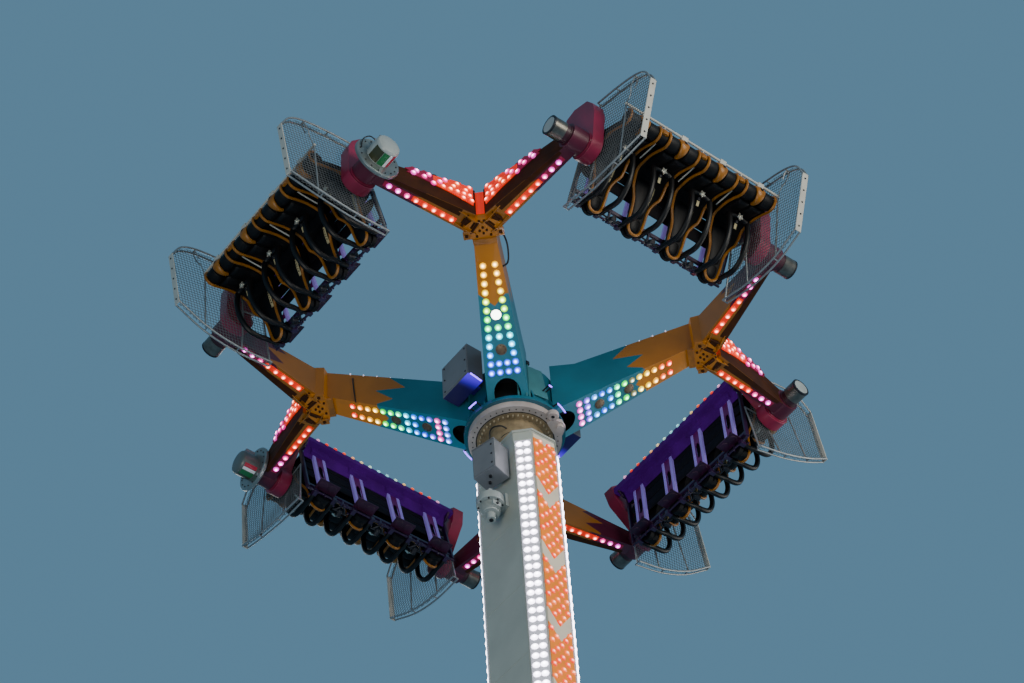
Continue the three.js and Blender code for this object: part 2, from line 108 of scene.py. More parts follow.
def add_node(tree, kind, inputs=None, **settings):
    """Adds a node, with its settings, and its inputs as values or as links from other sockets."""
    made = tree.nodes.new(kind)
    for key, value in settings.items():
        setattr(made, key, value)
    for key, value in (inputs or {}).items():
        if isinstance(value, bpy.types.NodeSocket):
            tree.links.new(value, made.inputs[key])
        else:
            made.inputs[key].default_value = value
    return made


def new_material(name):
    material = bpy.data.materials.new(name)
    material.use_nodes = True
    material.node_tree.nodes.clear()
    return material, material.node_tree


def surfaced(material, inputs):
    shader = add_node(material.node_tree, "ShaderNodeBsdfPrincipled", inputs)
    add_node(material.node_tree, "ShaderNodeOutputMaterial", {"Surface": shader.outputs["BSDF"]})
    return material


def mottled(tree, colour, depth, size, coordinates):
    """A colour that darkens by up to a share in patches of a size in metres."""
    noise = add_node(tree, "ShaderNodeTexNoise", {"Vector": coordinates, "Scale": 1 / size, "Detail": 5.0})
    value = add_node(tree, "ShaderNodeMapRange", {"Value": noise.outputs["Fac"], "From Min": 0.35,
        "From Max": 0.72, "To Max": 1 - depth, "To Min": 1.0})
    dimmed = add_node(tree, "ShaderNodeHueSaturation", {"Color": colour, "Value": value.outputs["Result"]})
    return dimmed.outputs["Color"]


def grain(tree, size, depth, coordinates):
    """A fine relief with a grain of a size and depth in metres."""
    noise = add_node(tree, "ShaderNodeTexNoise", {"Vector": coordinates, "Scale": 1 / size, "Detail": 3.0})
    return add_node(tree, "ShaderNodeBump", {"Height": noise.outputs["Fac"], "Strength": 0.5,
        "Distance": depth}).outputs["Normal"]


def coated(name, paint, roughness, dirt, patch, peel=0.004, metallic=0.0, coat=0.0, depth=0.0004, glow=0.0,
           shine=0.5):
    """Paint, plastic or metal whose colour wanders a little and whose surface has a fine grain."""
    material, tree = new_material(name)
    place = add_node(tree, "ShaderNodeTexCoord").outputs["Object"]
    colour = mottled(tree, paint, dirt, patch, place)
    inputs = {"Base Color": colour, "Roughness": roughness, "Metallic": metallic, "Coat Weight": coat,
        "Specular IOR Level": shine, "Normal": grain(tree, peel, depth, place)}
    if glow:
        inputs.update({"Emission Color": paint, "Emission Strength": glow})
    return surfaced(material, inputs)


# Where the two enamels of an arm meet: place across the face, distance out along it.
# The first three lie under the arm, the others on its sides.
ARM_FLAMES = [(0.165, 1.953), (0.25, 1.815), (0.335, 1.953), (0.52, 1.955), (0.605, 1.717), (0.662, 1.981),
              (0.757, 1.527), (0.838, 1.77), (0.93, 2.0)]
# The same for a fork branch: under it, then on its sides.
FORK_FLAMES = [(0.165, 1.05), (0.21, 0.84), (0.25, 1.12), (0.29, 0.86), (0.335, 1.05), (0.52, 1.1),
    (0.58, 0.82), (0.64, 1.16), (0.70, 0.78), (0.76, 1.05), (0.82, 0.85)]


def flame_paint(name, inner, outer, flames, glow):
    """Two gloss enamels that meet in flame tips; the UV map gives metres out, and the place across the faces.

    The glow is the light of the lamps on the underside.
    """
    material, tree = new_material(name)
    coordinates = add_node(tree, "ShaderNodeTexCoord")
    spot = add_node(tree, "ShaderNodeSeparateXYZ", {"Vector": coordinates.outputs["UV"]})
    edge = add_node(tree, "ShaderNodeFloatCurve", {"Value": spot.outputs["Y"]})
    points = edge.mapping.curves[0].points
    for place, out in flames[1:-1]:
        points.new(place, out / PAINT_REACH)
    points[0].location = (flames[0][0], flames[0][1] / PAINT_REACH)
    points[-1].location = (flames[-1][0], flames[-1][1] / PAINT_REACH)
    for point in points:
        point.handle_type = "VECTOR"
    edge.mapping.update()
    beyond = add_node(tree, "ShaderNodeMath", {0: edge.outputs["Value"], 1: -PAINT_REACH,
        2: spot.outputs["X"]}, operation="MULTIPLY_ADD")
    mask = add_node(tree, "ShaderNodeMapRange", {"Value": beyond.outputs[0], "From Min": -0.005,
        "From Max": 0.005})
    both = add_node(tree, "ShaderNodeMix", {"Factor": mask.outputs["Result"], "A": inner, "B": outer},
        data_type="RGBA")
    colour = mottled(tree, both.outputs["Result"], 0.25, 0.6, coordinates.outputs["Object"])
    normal = grain(tree, 0.004, 0.0003, coordinates.outputs["Object"])
    lit = add_node(tree, "ShaderNodeMapRange", {"Value": spot.outputs["Y"], "From Min": 0.42,
        "From Max": 0.46, "To Min": glow, "To Max": 0.0})
    return surfaced(material, {"Base Color": colour, "Roughness": 0.42, "Coat Weight": 0.1,
        "Normal": normal, "Emission Color": colour, "Emission Strength": lit.outputs["Result"]})


def chevron_paint(name, ground, stripe):
    """Cream enamel with broad amber chevrons that point down, one for each bay of the mast; the whole panel
    glows faintly in its own colour, painted light of its lamps.
    """
    material, tree = new_material(name)
    coordinates = add_node(tree, "ShaderNodeTexCoord").outputs["Object"]
    spot = add_node(tree, "ShaderNodeSeparateXYZ", {"Vector": coordinates})
    aside = add_node(tree, "ShaderNodeMath", {0: spot.outputs["X"]}, operation="ABSOLUTE")
    rise = add_node(tree, "ShaderNodeMath", {0: aside.outputs[0], 1: 1.5, 2: CHEVRON_NOTCH},
        operation="MULTIPLY_ADD")
    drop = add_node(tree, "ShaderNodeMath", {0: rise.outputs[0], 1: spot.outputs["Z"]}, operation="SUBTRACT")
    phase = add_node(tree, "ShaderNodeMath", {0: drop.outputs[0], 1: CHEVRON_PITCH},
        operation="FLOORED_MODULO")
    band = add_node(tree, "ShaderNodeMath", {0: phase.outputs[0], 1: CHEVRON_DEPTH}, operation="LESS_THAN")
    below = add_node(tree, "ShaderNodeMath", {0: spot.outputs["Z"], 1: CHEVRON_TOP}, operation="LESS_THAN")
    mask = add_node(tree, "ShaderNodeMath", {0: band.outputs[0], 1: below.outputs[0]}, operation="MULTIPLY")
    both = add_node(tree, "ShaderNodeMix", {"Factor": mask.outputs[0], "A": ground, "B": stripe},
        data_type="RGBA")
    colour = mottled(tree, both.outputs["Result"], 0.2, 0.5, coordinates)
    # The faint glow of the paint is painted light of the panel's lamps.
    return surfaced(material, {"Base Color": colour, "Roughness": 0.45, "Emission Color": colour,
        "Emission Strength": 0.42, "Normal": grain(tree, 0.004, 0.0003, coordinates)})


def tube_wash(name, coat, light):
    """Underside of a cabinet, painted dark violet as painted shade under it, and washed with painted light of
    the violet tube along one edge.
    """
    material, tree = new_material(name)
    place = add_node(tree, "ShaderNodeTexCoord").outputs["Object"]
    spot = add_node(tree, "ShaderNodeSeparateXYZ", {"Vector": place})
    # Both tubes lie where x times y is largest.
    near = add_node(tree, "ShaderNodeMath", {0: spot.outputs["X"], 1: spot.outputs["Y"]},
        operation="MULTIPLY")
    lit = add_node(tree, "ShaderNodeMapRange", {"Value": near.outputs[0], "From Min": 0.0, "From Max": 0.31,
        "To Min": 0.02, "To Max": 1.1}, interpolation_type="SMOOTHERSTEP")
    return surfaced(material, {"Base Color": mottled(tree, coat, 0.5, 0.3, place), "Roughness": 0.5,
        "Emission Color": light, "Emission Strength": lit.outputs["Result"]})


def lamp_glow(name, rim, core):
    """Moulded lens over lit diodes: tinted at its rim, nearly white in the middle."""
    material, tree = new_material(name)
    tint = add_node(tree, "ShaderNodeAttribute", attribute_name="tint")
    crown = add_node(tree, "ShaderNodeAttribute", attribute_name="crown")
    share = add_node(tree, "ShaderNodeMath", {0: crown.outputs["Fac"], 1: LENS_CLEAR}, operation="MULTIPLY")
    colour = add_node(tree, "ShaderNodeMix", {"Factor": share.outputs[0], "A": tint.outputs["Color"],
        "B": (1.0, 1.0, 1.0, 1.0)}, data_type="RGBA")
    strength = add_node(tree, "ShaderNodeMapRange", {"Value": crown.outputs["Fac"], "To Min": rim,
        "To Max": core})
    return surfaced(material, {"Base Color": tint.outputs["Color"], "Roughness": 0.15,
        "Emission Color": colour.outputs["Result"], "Emission Strength": strength.outputs["Result"]})


FINISHES = {}
# Share of white in the light at the middle of a coloured lamp.
LENS_CLEAR = 0.5


# Plain finishes: hex colour or paint setting, roughness, share of dirt, size of its patches in metres,
# and then what differs from smooth new paint.
COATINGS = {
    # Satin enamel on welded plate, rain-marked.
    "mast_enamel": ("mast", 0.42, 0.2, 0.8),
    # Clean white enamel behind the lamps.
    "white_enamel": ("#dcdae2", 0.3, 0.12, 0.6),
    # Paint on castings, dulled by grease dust.
    "ring_enamel": ("#b9aca6", 0.5, 0.3, 0.25),
    "race_enamel": ("#b5a68a", 0.5, 0.35, 0.15),
    # Machined iron under old grease: ochre blotches.
    "greased_iron": ("#9a8768", 0.55, 0.45, 0.12, dict(peel=0.003, metallic=0.2, depth=0.0008)),
    # Powder-coated sheet steel, faintly pebbled.
    "grey_powder": ("#74767a", 0.45, 0.2, 0.5, dict(peel=0.0025)),
    # Smooth machine enamel with oily patches.
    "motor_enamel": ("#9ea5a2", 0.34, 0.2, 0.2),
    # The same enamel painted darker, for the motor of gondola c: painted shade.
    "motor_grey": ("#59625f", 0.36, 0.3, 0.2),
    # Lacquered turned steel and brushed tube.
    "motor_steel": ("#8b9391", 0.3, 0.35, 0.3, dict(metallic=0.6)),
    "brushed_tube": ("#76726a", 0.34, 0.4, 0.08, dict(peel=0.002, metallic=0.85)),
    # Clear-coated enamel over blotches of soot.
    "hub_enamel": ("#1d5f70", 0.36, 0.45, 0.6, dict(coat=0.3)),
    # The same teal enamel painted paler on the posts and plates round the hub: painted light.
    "hub_pale": ("#38767c", 0.5, 0.3, 0.3, dict(coat=0.2)),
    # Enamel in the shade, and the boards that their lamps make glow.
    "magenta_enamel": ("#360518", 0.5, 0.35, 0.5, dict(coat=0.1)),
    "ember_enamel": ("#f02a00", 0.5, 0.3, 0.3, dict(glow=0.5)),
    "rose_enamel": ("#8a0c38", 0.5, 0.3, 0.3, dict(glow=0.25)),
    # Unlit hollows: nearly black.
    "dark_recess": ("#080c0e", 0.5, 0.3, 0.3),
    # Amber enamel painted near brown: painted shade on the sides that look into the forks, in the nodes'
    # channel mouths and on strips under the branches; the pins under the nodes take it too.
    "sooty_enamel": ("#401e02", 0.7, 0.5, 0.2, dict(shine=0.2)),
    # Gloss enamels between dusty patches.
    "amber_enamel": ("#a86600", 0.36, 0.4, 0.2, dict(coat=0.3)),
    "side_enamel": ("#8e123c", 0.45, 0.45, 0.4, dict(coat=0.3)),
    # Enamels of the seat rows, some lit by their lamps.
    "purple_enamel": ("#3e0064", 0.7, 0.6, 0.3, dict(glow=0.3, shine=0.1)),
    "plum_enamel": ("#34062c", 0.45, 0.5, 0.2),
    # Deep purple: the cross bars' own enamel; on the black hinges it is a painted violet sheen of the lamps.
    "deep_purple": ("#2a0c36", 0.38, 0.5, 0.25, dict(coat=0.2)),
    # The rails are white enamel; their lilac and its glow are painted violet lamp light.
    "lilac_enamel": ("#8c78cc", 0.4, 0.2, 0.3, dict(glow=0.2)),
    "plum_plate": ("#600c5c", 0.4, 0.4, 0.2, dict(glow=0.1)),
    # Grained vinyl over foam: a soft highlight.
    "black_vinyl": ("#08080a", 0.55, 0.3, 0.2, dict(peel=0.003, depth=0.0012, shine=0.25)),
    "amber_vinyl": ("seat_rims", 0.42, 0.3, 0.12, dict(peel=0.003, depth=0.001)),
    # Matt moulded shells.
    "moulded_shell": ("#08080b", 0.6, 0.4, 0.25, dict(peel=0.002, shine=0.2)),
    # Folded cover cloth with soft lumps.
    "folded_cover": ("#0c0812", 0.7, 0.5, 0.06, dict(peel=0.09, depth=0.03, shine=0.2)),
    # Dipped rubber with a soft shine.
    "dipped_rubber": ("#08080a", 0.45, 0.3, 0.1, dict(peel=0.002, shine=0.3)),
    # Ribbed polyester webbing.
    "cream_webbing": ("#b7aa80", 0.75, 0.3, 0.05, dict(peel=0.0015, depth=0.0012)),
    # Chrome on cast buckles: bright.
    "chrome": ("#e2dfd0", 0.18, 0.1, 0.1, dict(metallic=0.7)),
    # Hot-dip zinc, weathered matt on the mesh.
    "zinc": ("#8f9394", 0.4, 0.3, 0.03, dict(peel=0.003, metallic=0.5)),
    "wire_zinc": ("#5c6062", 0.8, 0.2, 0.1, dict(peel=0.003, shine=0.2)),
    # White enamel on tube, painted grey: painted shade.
    "white_tube": ("#b4b2a8", 0.34, 0.15, 0.2),
    # Rubber of hoses and cables: soft black.
    "cable_rubber": ("#101115", 0.5, 0.3, 0.1),
    # Blackened steel, its tone wandering in small patches.
    "dark_steel": ("#24242a", 0.45, 0.3, 0.1, dict(peel=0.003, metallic=0.4)),
    # Tarnished brass: brown with a dull shine.
    "disc_brass": ("#6f5c47", 0.45, 0.35, 0.03, dict(peel=0.002, metallic=0.3)),
    # Vinyl tape round a drive motor: smooth and flat.
    "band_green": ("#1f6f3c", 0.35, 0.1, 0.1),
    "band_white": ("#e4e6ea", 0.35, 0.1, 0.1),
    "band_red": ("#b3213c", 0.35, 0.1, 0.1),
    "band_olive": ("#3b3d25", 0.3, 0.2, 0.1),
    # Pale matt board.
    "studio_floor": ("#dcdcda", 0.85, 0.05, 1.5),
    # Clear glass over a lit strobe: pure white.
    "strobe_glass": ("#f4fff4", 0.2, 0.05, 0.2, dict(glow=9.0)),
    # Frosted tube over violet diodes: an even glow.
    "violet_tube": ("#8a5cff", 0.3, 0.05, 0.3, dict(glow=4.0)),
}
# Lit lenses: strength of the light at the rim and at the middle.
LENSES = {"lamp_lens": (0.6, 15.0), "chevron_lens": (0.7, 5.0), "mast_lens": (7.0, 18.0)}
PAINT_REACH = 2.5


def make_finishes():
    """Every material, named for its real finish; some names also say the light and shade painted into them.
    """
    paint = bpy.context.scene.ride_paint
    made = []
    for name, (colour, roughness, dirt, patch, *more) in COATINGS.items():
        colour = linear(colour) if colour.startswith("#") else list(getattr(paint, colour))
        made.append(coated(name, colour, roughness, dirt, patch, **(more[0] if more else {})))
    made += [lamp_glow(name, rim, core) for name, (rim, core) in LENSES.items()]
    made.append(chevron_paint("chevron_enamel", linear("#c6bba6"), list(paint.chevrons)))
    made.append(tube_wash("violet_powder", linear("#16083c"), linear("#5218ff")))
    made.append(flame_paint("arm_enamel", list(paint.arm_roots), list(paint.arm_tips), ARM_FLAMES, 0.28))
    made.append(flame_paint("fork_enamel", list(paint.arm_tips), linear("#4e0826"), FORK_FLAMES, 0.0))
    FINISHES.update((material.name, material) for material in made)


# Shapes.


def turns(count):
    return [2 * pi * i / count for i in range(count)]


def skin(size, rows):
    """Faces between rows of equally many points, each row closed on itself."""
    faces = []
    for row in range(rows - 1):
        for k in range(size):
            m = (k + 1) % size
            faces.append([row * size + k, row * size + m, (row + 1) * size + m, (row + 1) * size + k])
    return faces


def caps(size, rows):
    return [list(range(size)), [(rows - 1) * size + k for k in range(size)]]


class Shape:
    """Points and faces of one piece, gathered part by part."""

    def __init__(self):
        self.points = []
        self.faces = []

    def add(self, points, faces):
        first = len(self.points)
        self.points += [Vector(p) for p in points]
        self.faces += [[first + i for i in face] for face in faces]
        return self

    def join(self, other, matrix=None):
        """Takes in another shape, placed by a matrix."""
        return self.add([matrix @ p for p in other.points] if matrix else other.points, other.faces)

    def block(self, low, high):
        """A box between two corners."""
        points = [(x, y, z) for x in (low[0], high[0]) for y in (low[1], high[1]) for z in (low[2], high[2])]
        return self.add(points, [(0, 1, 3, 2), (4, 6, 7, 5), (0, 4, 5, 1), (2, 3, 7, 6), (0, 2, 6, 4),
            (1, 5, 7, 3)])

    def loft(self, rings):
        """A closed skin over rings of equally many points."""
        size = len(rings[0])
        return self.add([p for ring in rings for p in ring], caps(size, len(rings)) + skin(size, len(rings)))

    def prism(self, outline, low, high):
        """A flat outline in the first two directions, thick in the third."""
        return self.loft([[(x, y, z) for x, y in outline] for z in (low, high)])

    def slab(self, corners, direction, thick):
        """A flat outline anywhere, thick in a direction."""
        corners = [Vector(c) for c in corners]
        shift = Vector(direction).normalized() * thick
        return self.loft([corners, [c + shift for c in corners]])

    def turned(self, profile, start, end, sides=24):
        """A profile of (distance along, radius) turned about the line from start to end."""
        start, end = Vector(start), Vector(end)
        axis = (end - start).normalized()
        side = axis.orthogonal().normalized()
        other = axis.cross(side)
        points = []
        for along, radius in profile:
            for angle in turns(sides):
                points.append(start + axis * along + (side * cos(angle) + other * sin(angle))
                    * radius)
        return self.add(points, skin(sides, len(profile)) + caps(sides, len(profile)))

    def rod(self, start, end, radius, sides=12):
        length = (Vector(end) - Vector(start)).length
        return self.turned([(0, radius), (length, radius)], start, end, sides)

    def hoop(self, inner, outer, low, high, sides=64):
        """A flat ring about the upright axis."""
        points, faces = [], []
        for angle in turns(sides):
            for radius, z in ((inner, low), (outer, low), (outer, high), (inner, high)):
                points.append((radius * cos(angle), radius * sin(angle), z))
        for i in range(sides):
            a, b = 4 * i, 4 * ((i + 1) % sides)
            for k in range(4):
                faces.append([a + k, b + k, b + (k + 1) % 4, a + (k + 1) % 4])
        return self.add(points, faces)

    def swept(self, path, width, thick=None, sides=8, across=None):
        """A bar of oval section along a path; across is the direction of its width."""
        path = [Vector(p) for p in path]
        count = len(path)
        widths = width if isinstance(width, list) else [width] * count
        points = []
        side = None
        for i, place in enumerate(path):
            tangent = (path[min(i + 1, count - 1)] - path[max(i - 1, 0)]).normalized()
            if across is not None:
                side = Vector(across)
            elif side is None:
                side = tangent.orthogonal()
            side = (side - tangent * side.dot(tangent)).normalized()
            other = tangent.cross(side)
            for k in range(sides):
                angle = 2 * pi * (k + 0.5) / sides
                points.append(place + side * cos(angle) * widths[i] + other * sin(angle)
                    * (thick or widths[i]))
        return self.add(points, skin(sides, count) + caps(sides, count))


def shapes(count):
    return [Shape() for _ in range(count)]


class Spots:
    """Places for lamps or bolts, each with its aim, and a lamp with its tint."""

    def __init__(self):
        self.points = []
        self.aims = []
        self.tints = []

    def put(self, place, aim, hex_colour=None):
        self.points.append(place)
        self.aims.append(aim)
        if hex_colour:
            self.tints.append(linear(hex_colour))


def smooth_path(points, steps=6):
    """A curve through a row of points."""
    points = [Vector(p) for p in points]
    rows = [points[0] * 2 - points[1]] + points + [points[-1] * 2 - points[-2]]
    result = []
    for i in range(len(points) - 1):
        a, b, c, d = rows[i:i + 4]
        for k in range(steps):
            t = k / steps
            result.append(0.5 * ((2 * b) + (c - a) * t + (2 * a - 5 * b + 4 * c - d) * t ** 2
                + (3 * b - a - 3 * c + d) * t ** 3))
    return result + [points[-1]]


def arc(centre, radius, start, end, steps):
    """Points of an arc in the first two directions, angles in degrees."""
    angles = [radians(start + (end - start) * i / steps) for i in range(steps + 1)]
    return [(centre[0] + radius * cos(a), centre[1] + radius * sin(a)) for a in angles]


def gondola_matrix(name):
    """From a gondola's own directions to the ride's."""
    azimuth, lean = GONDOLAS[name]
    angle = radians(-90 + lean)
    head = Vector((cos(angle), 0, sin(angle)))
    front = Vector((-sin(angle), 0, cos(angle)))
    along = head.cross(front)
    axes = Matrix((head, front, along)).transposed().to_4x4()
    return turn(azimuth) @ Matrix.Translation((PIVOT_RADIUS, 0, PIVOT_Z)) @ axes


def turn(degrees):
    return Matrix.Rotation(radians(degrees), 4, "Z")


def linked(name, data):
    made = bpy.data.objects.new(name, data)
    bpy.context.scene.collection.objects.link(made)
    return made


def mesh_object(name, shape, matrix=None):
    """A plain mesh from a shape, with its faces pointing outwards."""
    mesh = bpy.data.meshes.new(name)
    points = [matrix @ p for p in shape.points] if matrix else shape.points
    mesh.from_pydata(points, [], shape.faces)
    sheet = bmesh.new()
    sheet.from_mesh(mesh)
    bmesh.ops.recalc_face_normals(sheet, faces=sheet.faces)
    sheet.to_mesh(mesh)
    sheet.free()
    return linked(name, mesh)


def round_off(made, bevel, angle=32):
    """Smooth faces with sharp creases, and a narrow round along them."""
    made.data.shade_smooth()
    made.data.set_sharp_from_angle(angle=radians(angle))
    if bevel:
        rounding = made.modifiers.new("edge_round", "BEVEL")
        rounding.width = bevel
        rounding.segments = 2
        rounding.limit_method = "ANGLE"
        rounding.angle_limit = radians(angle)
        rounding.harden_normals = True


def piece(name, shape, finish, body, matrix=None, bevel=0.0):
    """One finished piece that rides on a body."""
    made = mesh_object(name, shape, matrix)
    made.data.materials.append(FINISHES[finish])
    round_off(made, bevel)
    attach(made, body)
    return made


def row_pieces(body, matrix, rows):
    """Pieces of one seat row, each as its name, shape, finish, slot and bevel; the slot is not used. The last
    is returned.
    """
    for name, shape, finish, slot, bevel in rows:
        made = piece(f"{body}_{name}", shape, finish, body, matrix, bevel)
    return made


def dressed(node, finish, body, bevel=0.004, uv=None, parts=()):
    """A rounded copy of a CAD node, in its place; parts are other finishes, each with a face test."""
    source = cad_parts[node]
    mesh = source.data.copy()
    sheet = bmesh.new()
    sheet.from_mesh(mesh)
    bmesh.ops.remove_doubles(sheet, verts=sheet.verts, dist=2e-5)
    bmesh.ops.dissolve_limit(sheet, angle_limit=radians(0.6), verts=sheet.verts, edges=sheet.edges)
    for layer in list(sheet.loops.layers.uv.values()):
        sheet.loops.layers.uv.remove(layer)
    if uv:
        layer = sheet.loops.layers.uv.new("paint")
        for face in sheet.faces:
            for loop in face.loops:
                loop[layer].uv = uv(loop.vert.co, face.normal)
    sheet.to_mesh(mesh)
    sheet.free()
    mesh.name = f"{node}_dressed"
    made = linked(f"{node}_dressed", mesh)
    mesh.materials.clear()
    mesh.materials.append(FINISHES[finish])
    for number, (other, test) in enumerate(parts, 1):
        mesh.materials.append(FINISHES[other])
        for face in mesh.polygons:
            if test(face.center, face.normal):
                face.material_index = number
    round_off(made, bevel)
    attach(made, body)
    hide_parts(node)
    return made


def strapped(name, points, diameter, body, finish="cable_rubber"):
    """A cable that leaves the object at its first point and enters it again at its last."""
    path = smooth_path(points, 8)
    made = mesh_object(name, Shape().swept(path, diameter / 2, sides=10))
    made.data.materials.append(FINISHES[finish])
    made.data.shade_smooth()
    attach(made, body)
    return made


# Geometry node trees.


def new_tree(name, sizes):
    """A geometry node tree with named size inputs and a material input."""
    tree = bpy.data.node_groups.new(name, "GeometryNodeTree")
    tree.interface.new_socket("Geometry", in_out="INPUT", socket_type="NodeSocketGeometry")
    tree.interface.new_socket("Geometry", in_out="OUTPUT", socket_type="NodeSocketGeometry")
    for label, value in sizes.items():
        socket = tree.interface.new_socket(label, in_out="INPUT", socket_type="NodeSocketFloat")
        socket.subtype = "DISTANCE"
        socket.default_value = value
    tree.interface.new_socket("Material", in_out="INPUT", socket_type="NodeSocketMaterial")
    return tree, add_node(tree, "NodeGroupInput")


def end_tree(tree, entry, geometry):
    real = add_node(tree, "GeometryNodeRealizeInstances", {"Geometry": geometry})
    finished = add_node(tree, "GeometryNodeSetMaterial", {"Geometry": real.outputs["Geometry"],
        "Material": entry.outputs["Material"]})
    add_node(tree, "NodeGroupOutput", {"Geometry": finished.outputs["Geometry"]})


def planted(tree, entry, instance, **more):
    """Ends a tree with the instance on each point, turned to the point's aim."""
    aim = add_node(tree, "GeometryNodeInputNamedAttribute", {"Name": "aim"}, data_type="FLOAT_VECTOR")
    facing = add_node(tree, "FunctionNodeAlignRotationToVector", {"Vector": aim.outputs["Attribute"]},
        axis="Z")
    placed = add_node(tree, "GeometryNodeInstanceOnPoints", {"Points": entry.outputs["Geometry"],
        "Instance": instance, "Rotation": facing.outputs["Rotation"], **more})
    end_tree(tree, entry, placed.outputs["Instances"])
    return tree


def lamp_tree():
    """A low dome on each point, with the point's tint; its crown is marked."""
    tree, entry = new_tree("lamp_domes", {"Radius": 0.035, "Rise": 0.018})
    dome = add_node(tree, "GeometryNodeMeshUVSphere", {"Segments": 10, "Rings": 6, "Radius": 1.0})
    height = add_node(tree, "ShaderNodeSeparateXYZ", {"Vector": add_node(tree,
        "GeometryNodeInputPosition").outputs["Position"]})
    crown = add_node(tree, "ShaderNodeMapRange", {"Value": height.outputs["Z"], "From Min": 0.83,
        "From Max": 1.0})
    marked = add_node(tree, "GeometryNodeStoreNamedAttribute", {"Geometry": dome.outputs["Mesh"],
        "Name": "crown", "Value": crown.outputs["Result"]}, data_type="FLOAT", domain="POINT")
    size = add_node(tree, "ShaderNodeCombineXYZ", {"X": entry.outputs["Radius"],
        "Y": entry.outputs["Radius"], "Z": entry.outputs["Rise"]})
    return planted(tree, entry, marked.outputs["Geometry"], Scale=size.outputs["Vector"])


def bolt_tree():
    tree, entry = new_tree("bolt_heads", {"Radius": 0.015, "Rise": 0.012})
    head = add_node(tree, "GeometryNodeMeshCylinder", {"Vertices": 6, "Radius": entry.outputs["Radius"],
        "Depth": entry.outputs["Rise"]})
    return planted(tree, entry, head.outputs["Mesh"])


def wire_tree():
    tree, entry = new_tree("wire_mesh", {"Radius": 0.0025})
    lines = add_node(tree, "GeometryNodeMeshToCurve", {"Mesh": entry.outputs["Geometry"]})
    section = add_node(tree, "GeometryNodeCurvePrimitiveCircle", {"Resolution": 4,
        "Radius": entry.outputs["Radius"]})
    wires = add_node(tree, "GeometryNodeCurveToMesh", {"Curve": lines.outputs["Curve"],
        "Profile Curve": section.outputs["Curve"], "Fill Caps": True})
    end_tree(tree, entry, wires.outputs["Mesh"])
    return tree


TREES = {}


def make_trees():
    TREES.update(lamps=lamp_tree(), bolts=bolt_tree(), wires=wire_tree())


def grown(name, tree_name, finish, body, spots, edges=(), slot=None, **sizes):
    """A plain mesh that a tree makes of spots."""
    mesh = bpy.data.meshes.new(f"{name}_seed")
    mesh.from_pydata(spots.points, edges, [])
    for label, kind, field, rows in (("aim", "FLOAT_VECTOR", "vector", spots.aims),
            ("tint", "FLOAT_COLOR", "color", spots.tints)):
        if rows:
            layer = mesh.attributes.new(label, kind, "POINT")
            layer.data.foreach_set(field, [value for row in rows for value in row])
    seed = linked(f"{name}_seed", mesh)
    tree = TREES[tree_name]
    modifier = seed.modifiers.new("grow", "NODES")
    modifier.node_group = tree
    inputs = {**sizes, "Material": FINISHES[finish]}
    for item in tree.interface.items_tree:
        if item.item_type == "SOCKET" and item.in_out == "INPUT" and item.name in inputs:
            modifier[item.identifier] = inputs[item.name]
    graph = bpy.context.evaluated_depsgraph_get()
    result = bpy.data.meshes.new_from_object(seed.evaluated_get(graph))
    result.name = name
    made = linked(name, result)
    bpy.data.objects.remove(seed)
    made.data.shade_smooth()
    made.data.set_sharp_from_angle(angle=radians(40))
    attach(made, body)
    return made


# Mast.


# Weld seams of the mast: first height, distance between them, and half length across the wide faces.
SEAM_START = 1.5
SEAM_PITCH = 1.25
SEAM_HALF = 0.4
SEAM_COUNT = 6


def build_mast():
    dressed("mast_column", "mast_enamel", "mast", 0.008)
    dressed("mast_foot", "mast_enamel", "mast", 0.004)
    for name in ARMS:
        dressed(f"lamp_rail_{name}", "white_enamel", "mast", 0.003)
    for name in ("front", "back"):
        dressed(f"chevron_panel_{name}", "chevron_enamel", "mast", 0.003)
    seams = Shape()
    for z in [SEAM_START + SEAM_PITCH * i for i in range(SEAM_COUNT)]:
        for x in (-MAST_DEPTH / 2, MAST_DEPTH / 2):
            seams.block((x - 0.004, -SEAM_HALF, z - 0.005), (x + 0.004, SEAM_HALF, z + 0.005))
    for x in (-MAST_DEPTH / 2, MAST_DEPTH / 2):
        for edge in (-SEAM_HALF - 0.005, SEAM_HALF + 0.005):
            seams.block((x - 0.003, edge - 0.004, 0.4), (x + 0.003, edge + 0.004, MAST_TOP - 0.05))
    piece("mast_welds", seams, "mast_enamel", "mast", bevel=0.002)


# Distance of a column of lamps from the rail's middle, and of the first row from its top.
LAMP_COLUMNS = (-0.052, 0.052)
FIRST_ROW = 0.086
# Rows of lamps on a chevron: distance between rows and along them, and rise for each metre aside.
CHEVRON_ROW = 0.212
CHEVRON_STEP = 0.0765
CHEVRON_RISE = 1.6
CHEVRON_TINTS = ("#ff4a12", "#ff3a08", "#ff6a20")


def mast_lamps():
    """Two columns of lamps on each cut corner."""
    sizes = bpy.context.scene.ride_sizes
    lamps = Spots()
    rows = int((RAIL_TOP - RAIL_BOTTOM - 0.15) / sizes.mast_pitch)
    for sx, sy in ((-1, -1), (1, -1), (1, 1), (-1, 1)):
        out = Vector((sx, sy, 0)).normalized()
        aside = Vector((-out.y, out.x, 0))
        centre = Vector((sx * (MAST_DEPTH - MAST_CORNER) / 2, sy * (MAST_WIDTH - MAST_CORNER) / 2, 0))
        for row in range(rows):
            for column in LAMP_COLUMNS:
                spot = centre + out * (RAIL_THICK + 0.001) + aside * column
                lamps.put((spot.x, spot.y, RAIL_TOP - FIRST_ROW - row * sizes.mast_pitch), out, "#f4ecff")
    grown("mast_lamps", "lamps", "mast_lens", "mast", lamps, Radius=0.05, Rise=0.02)


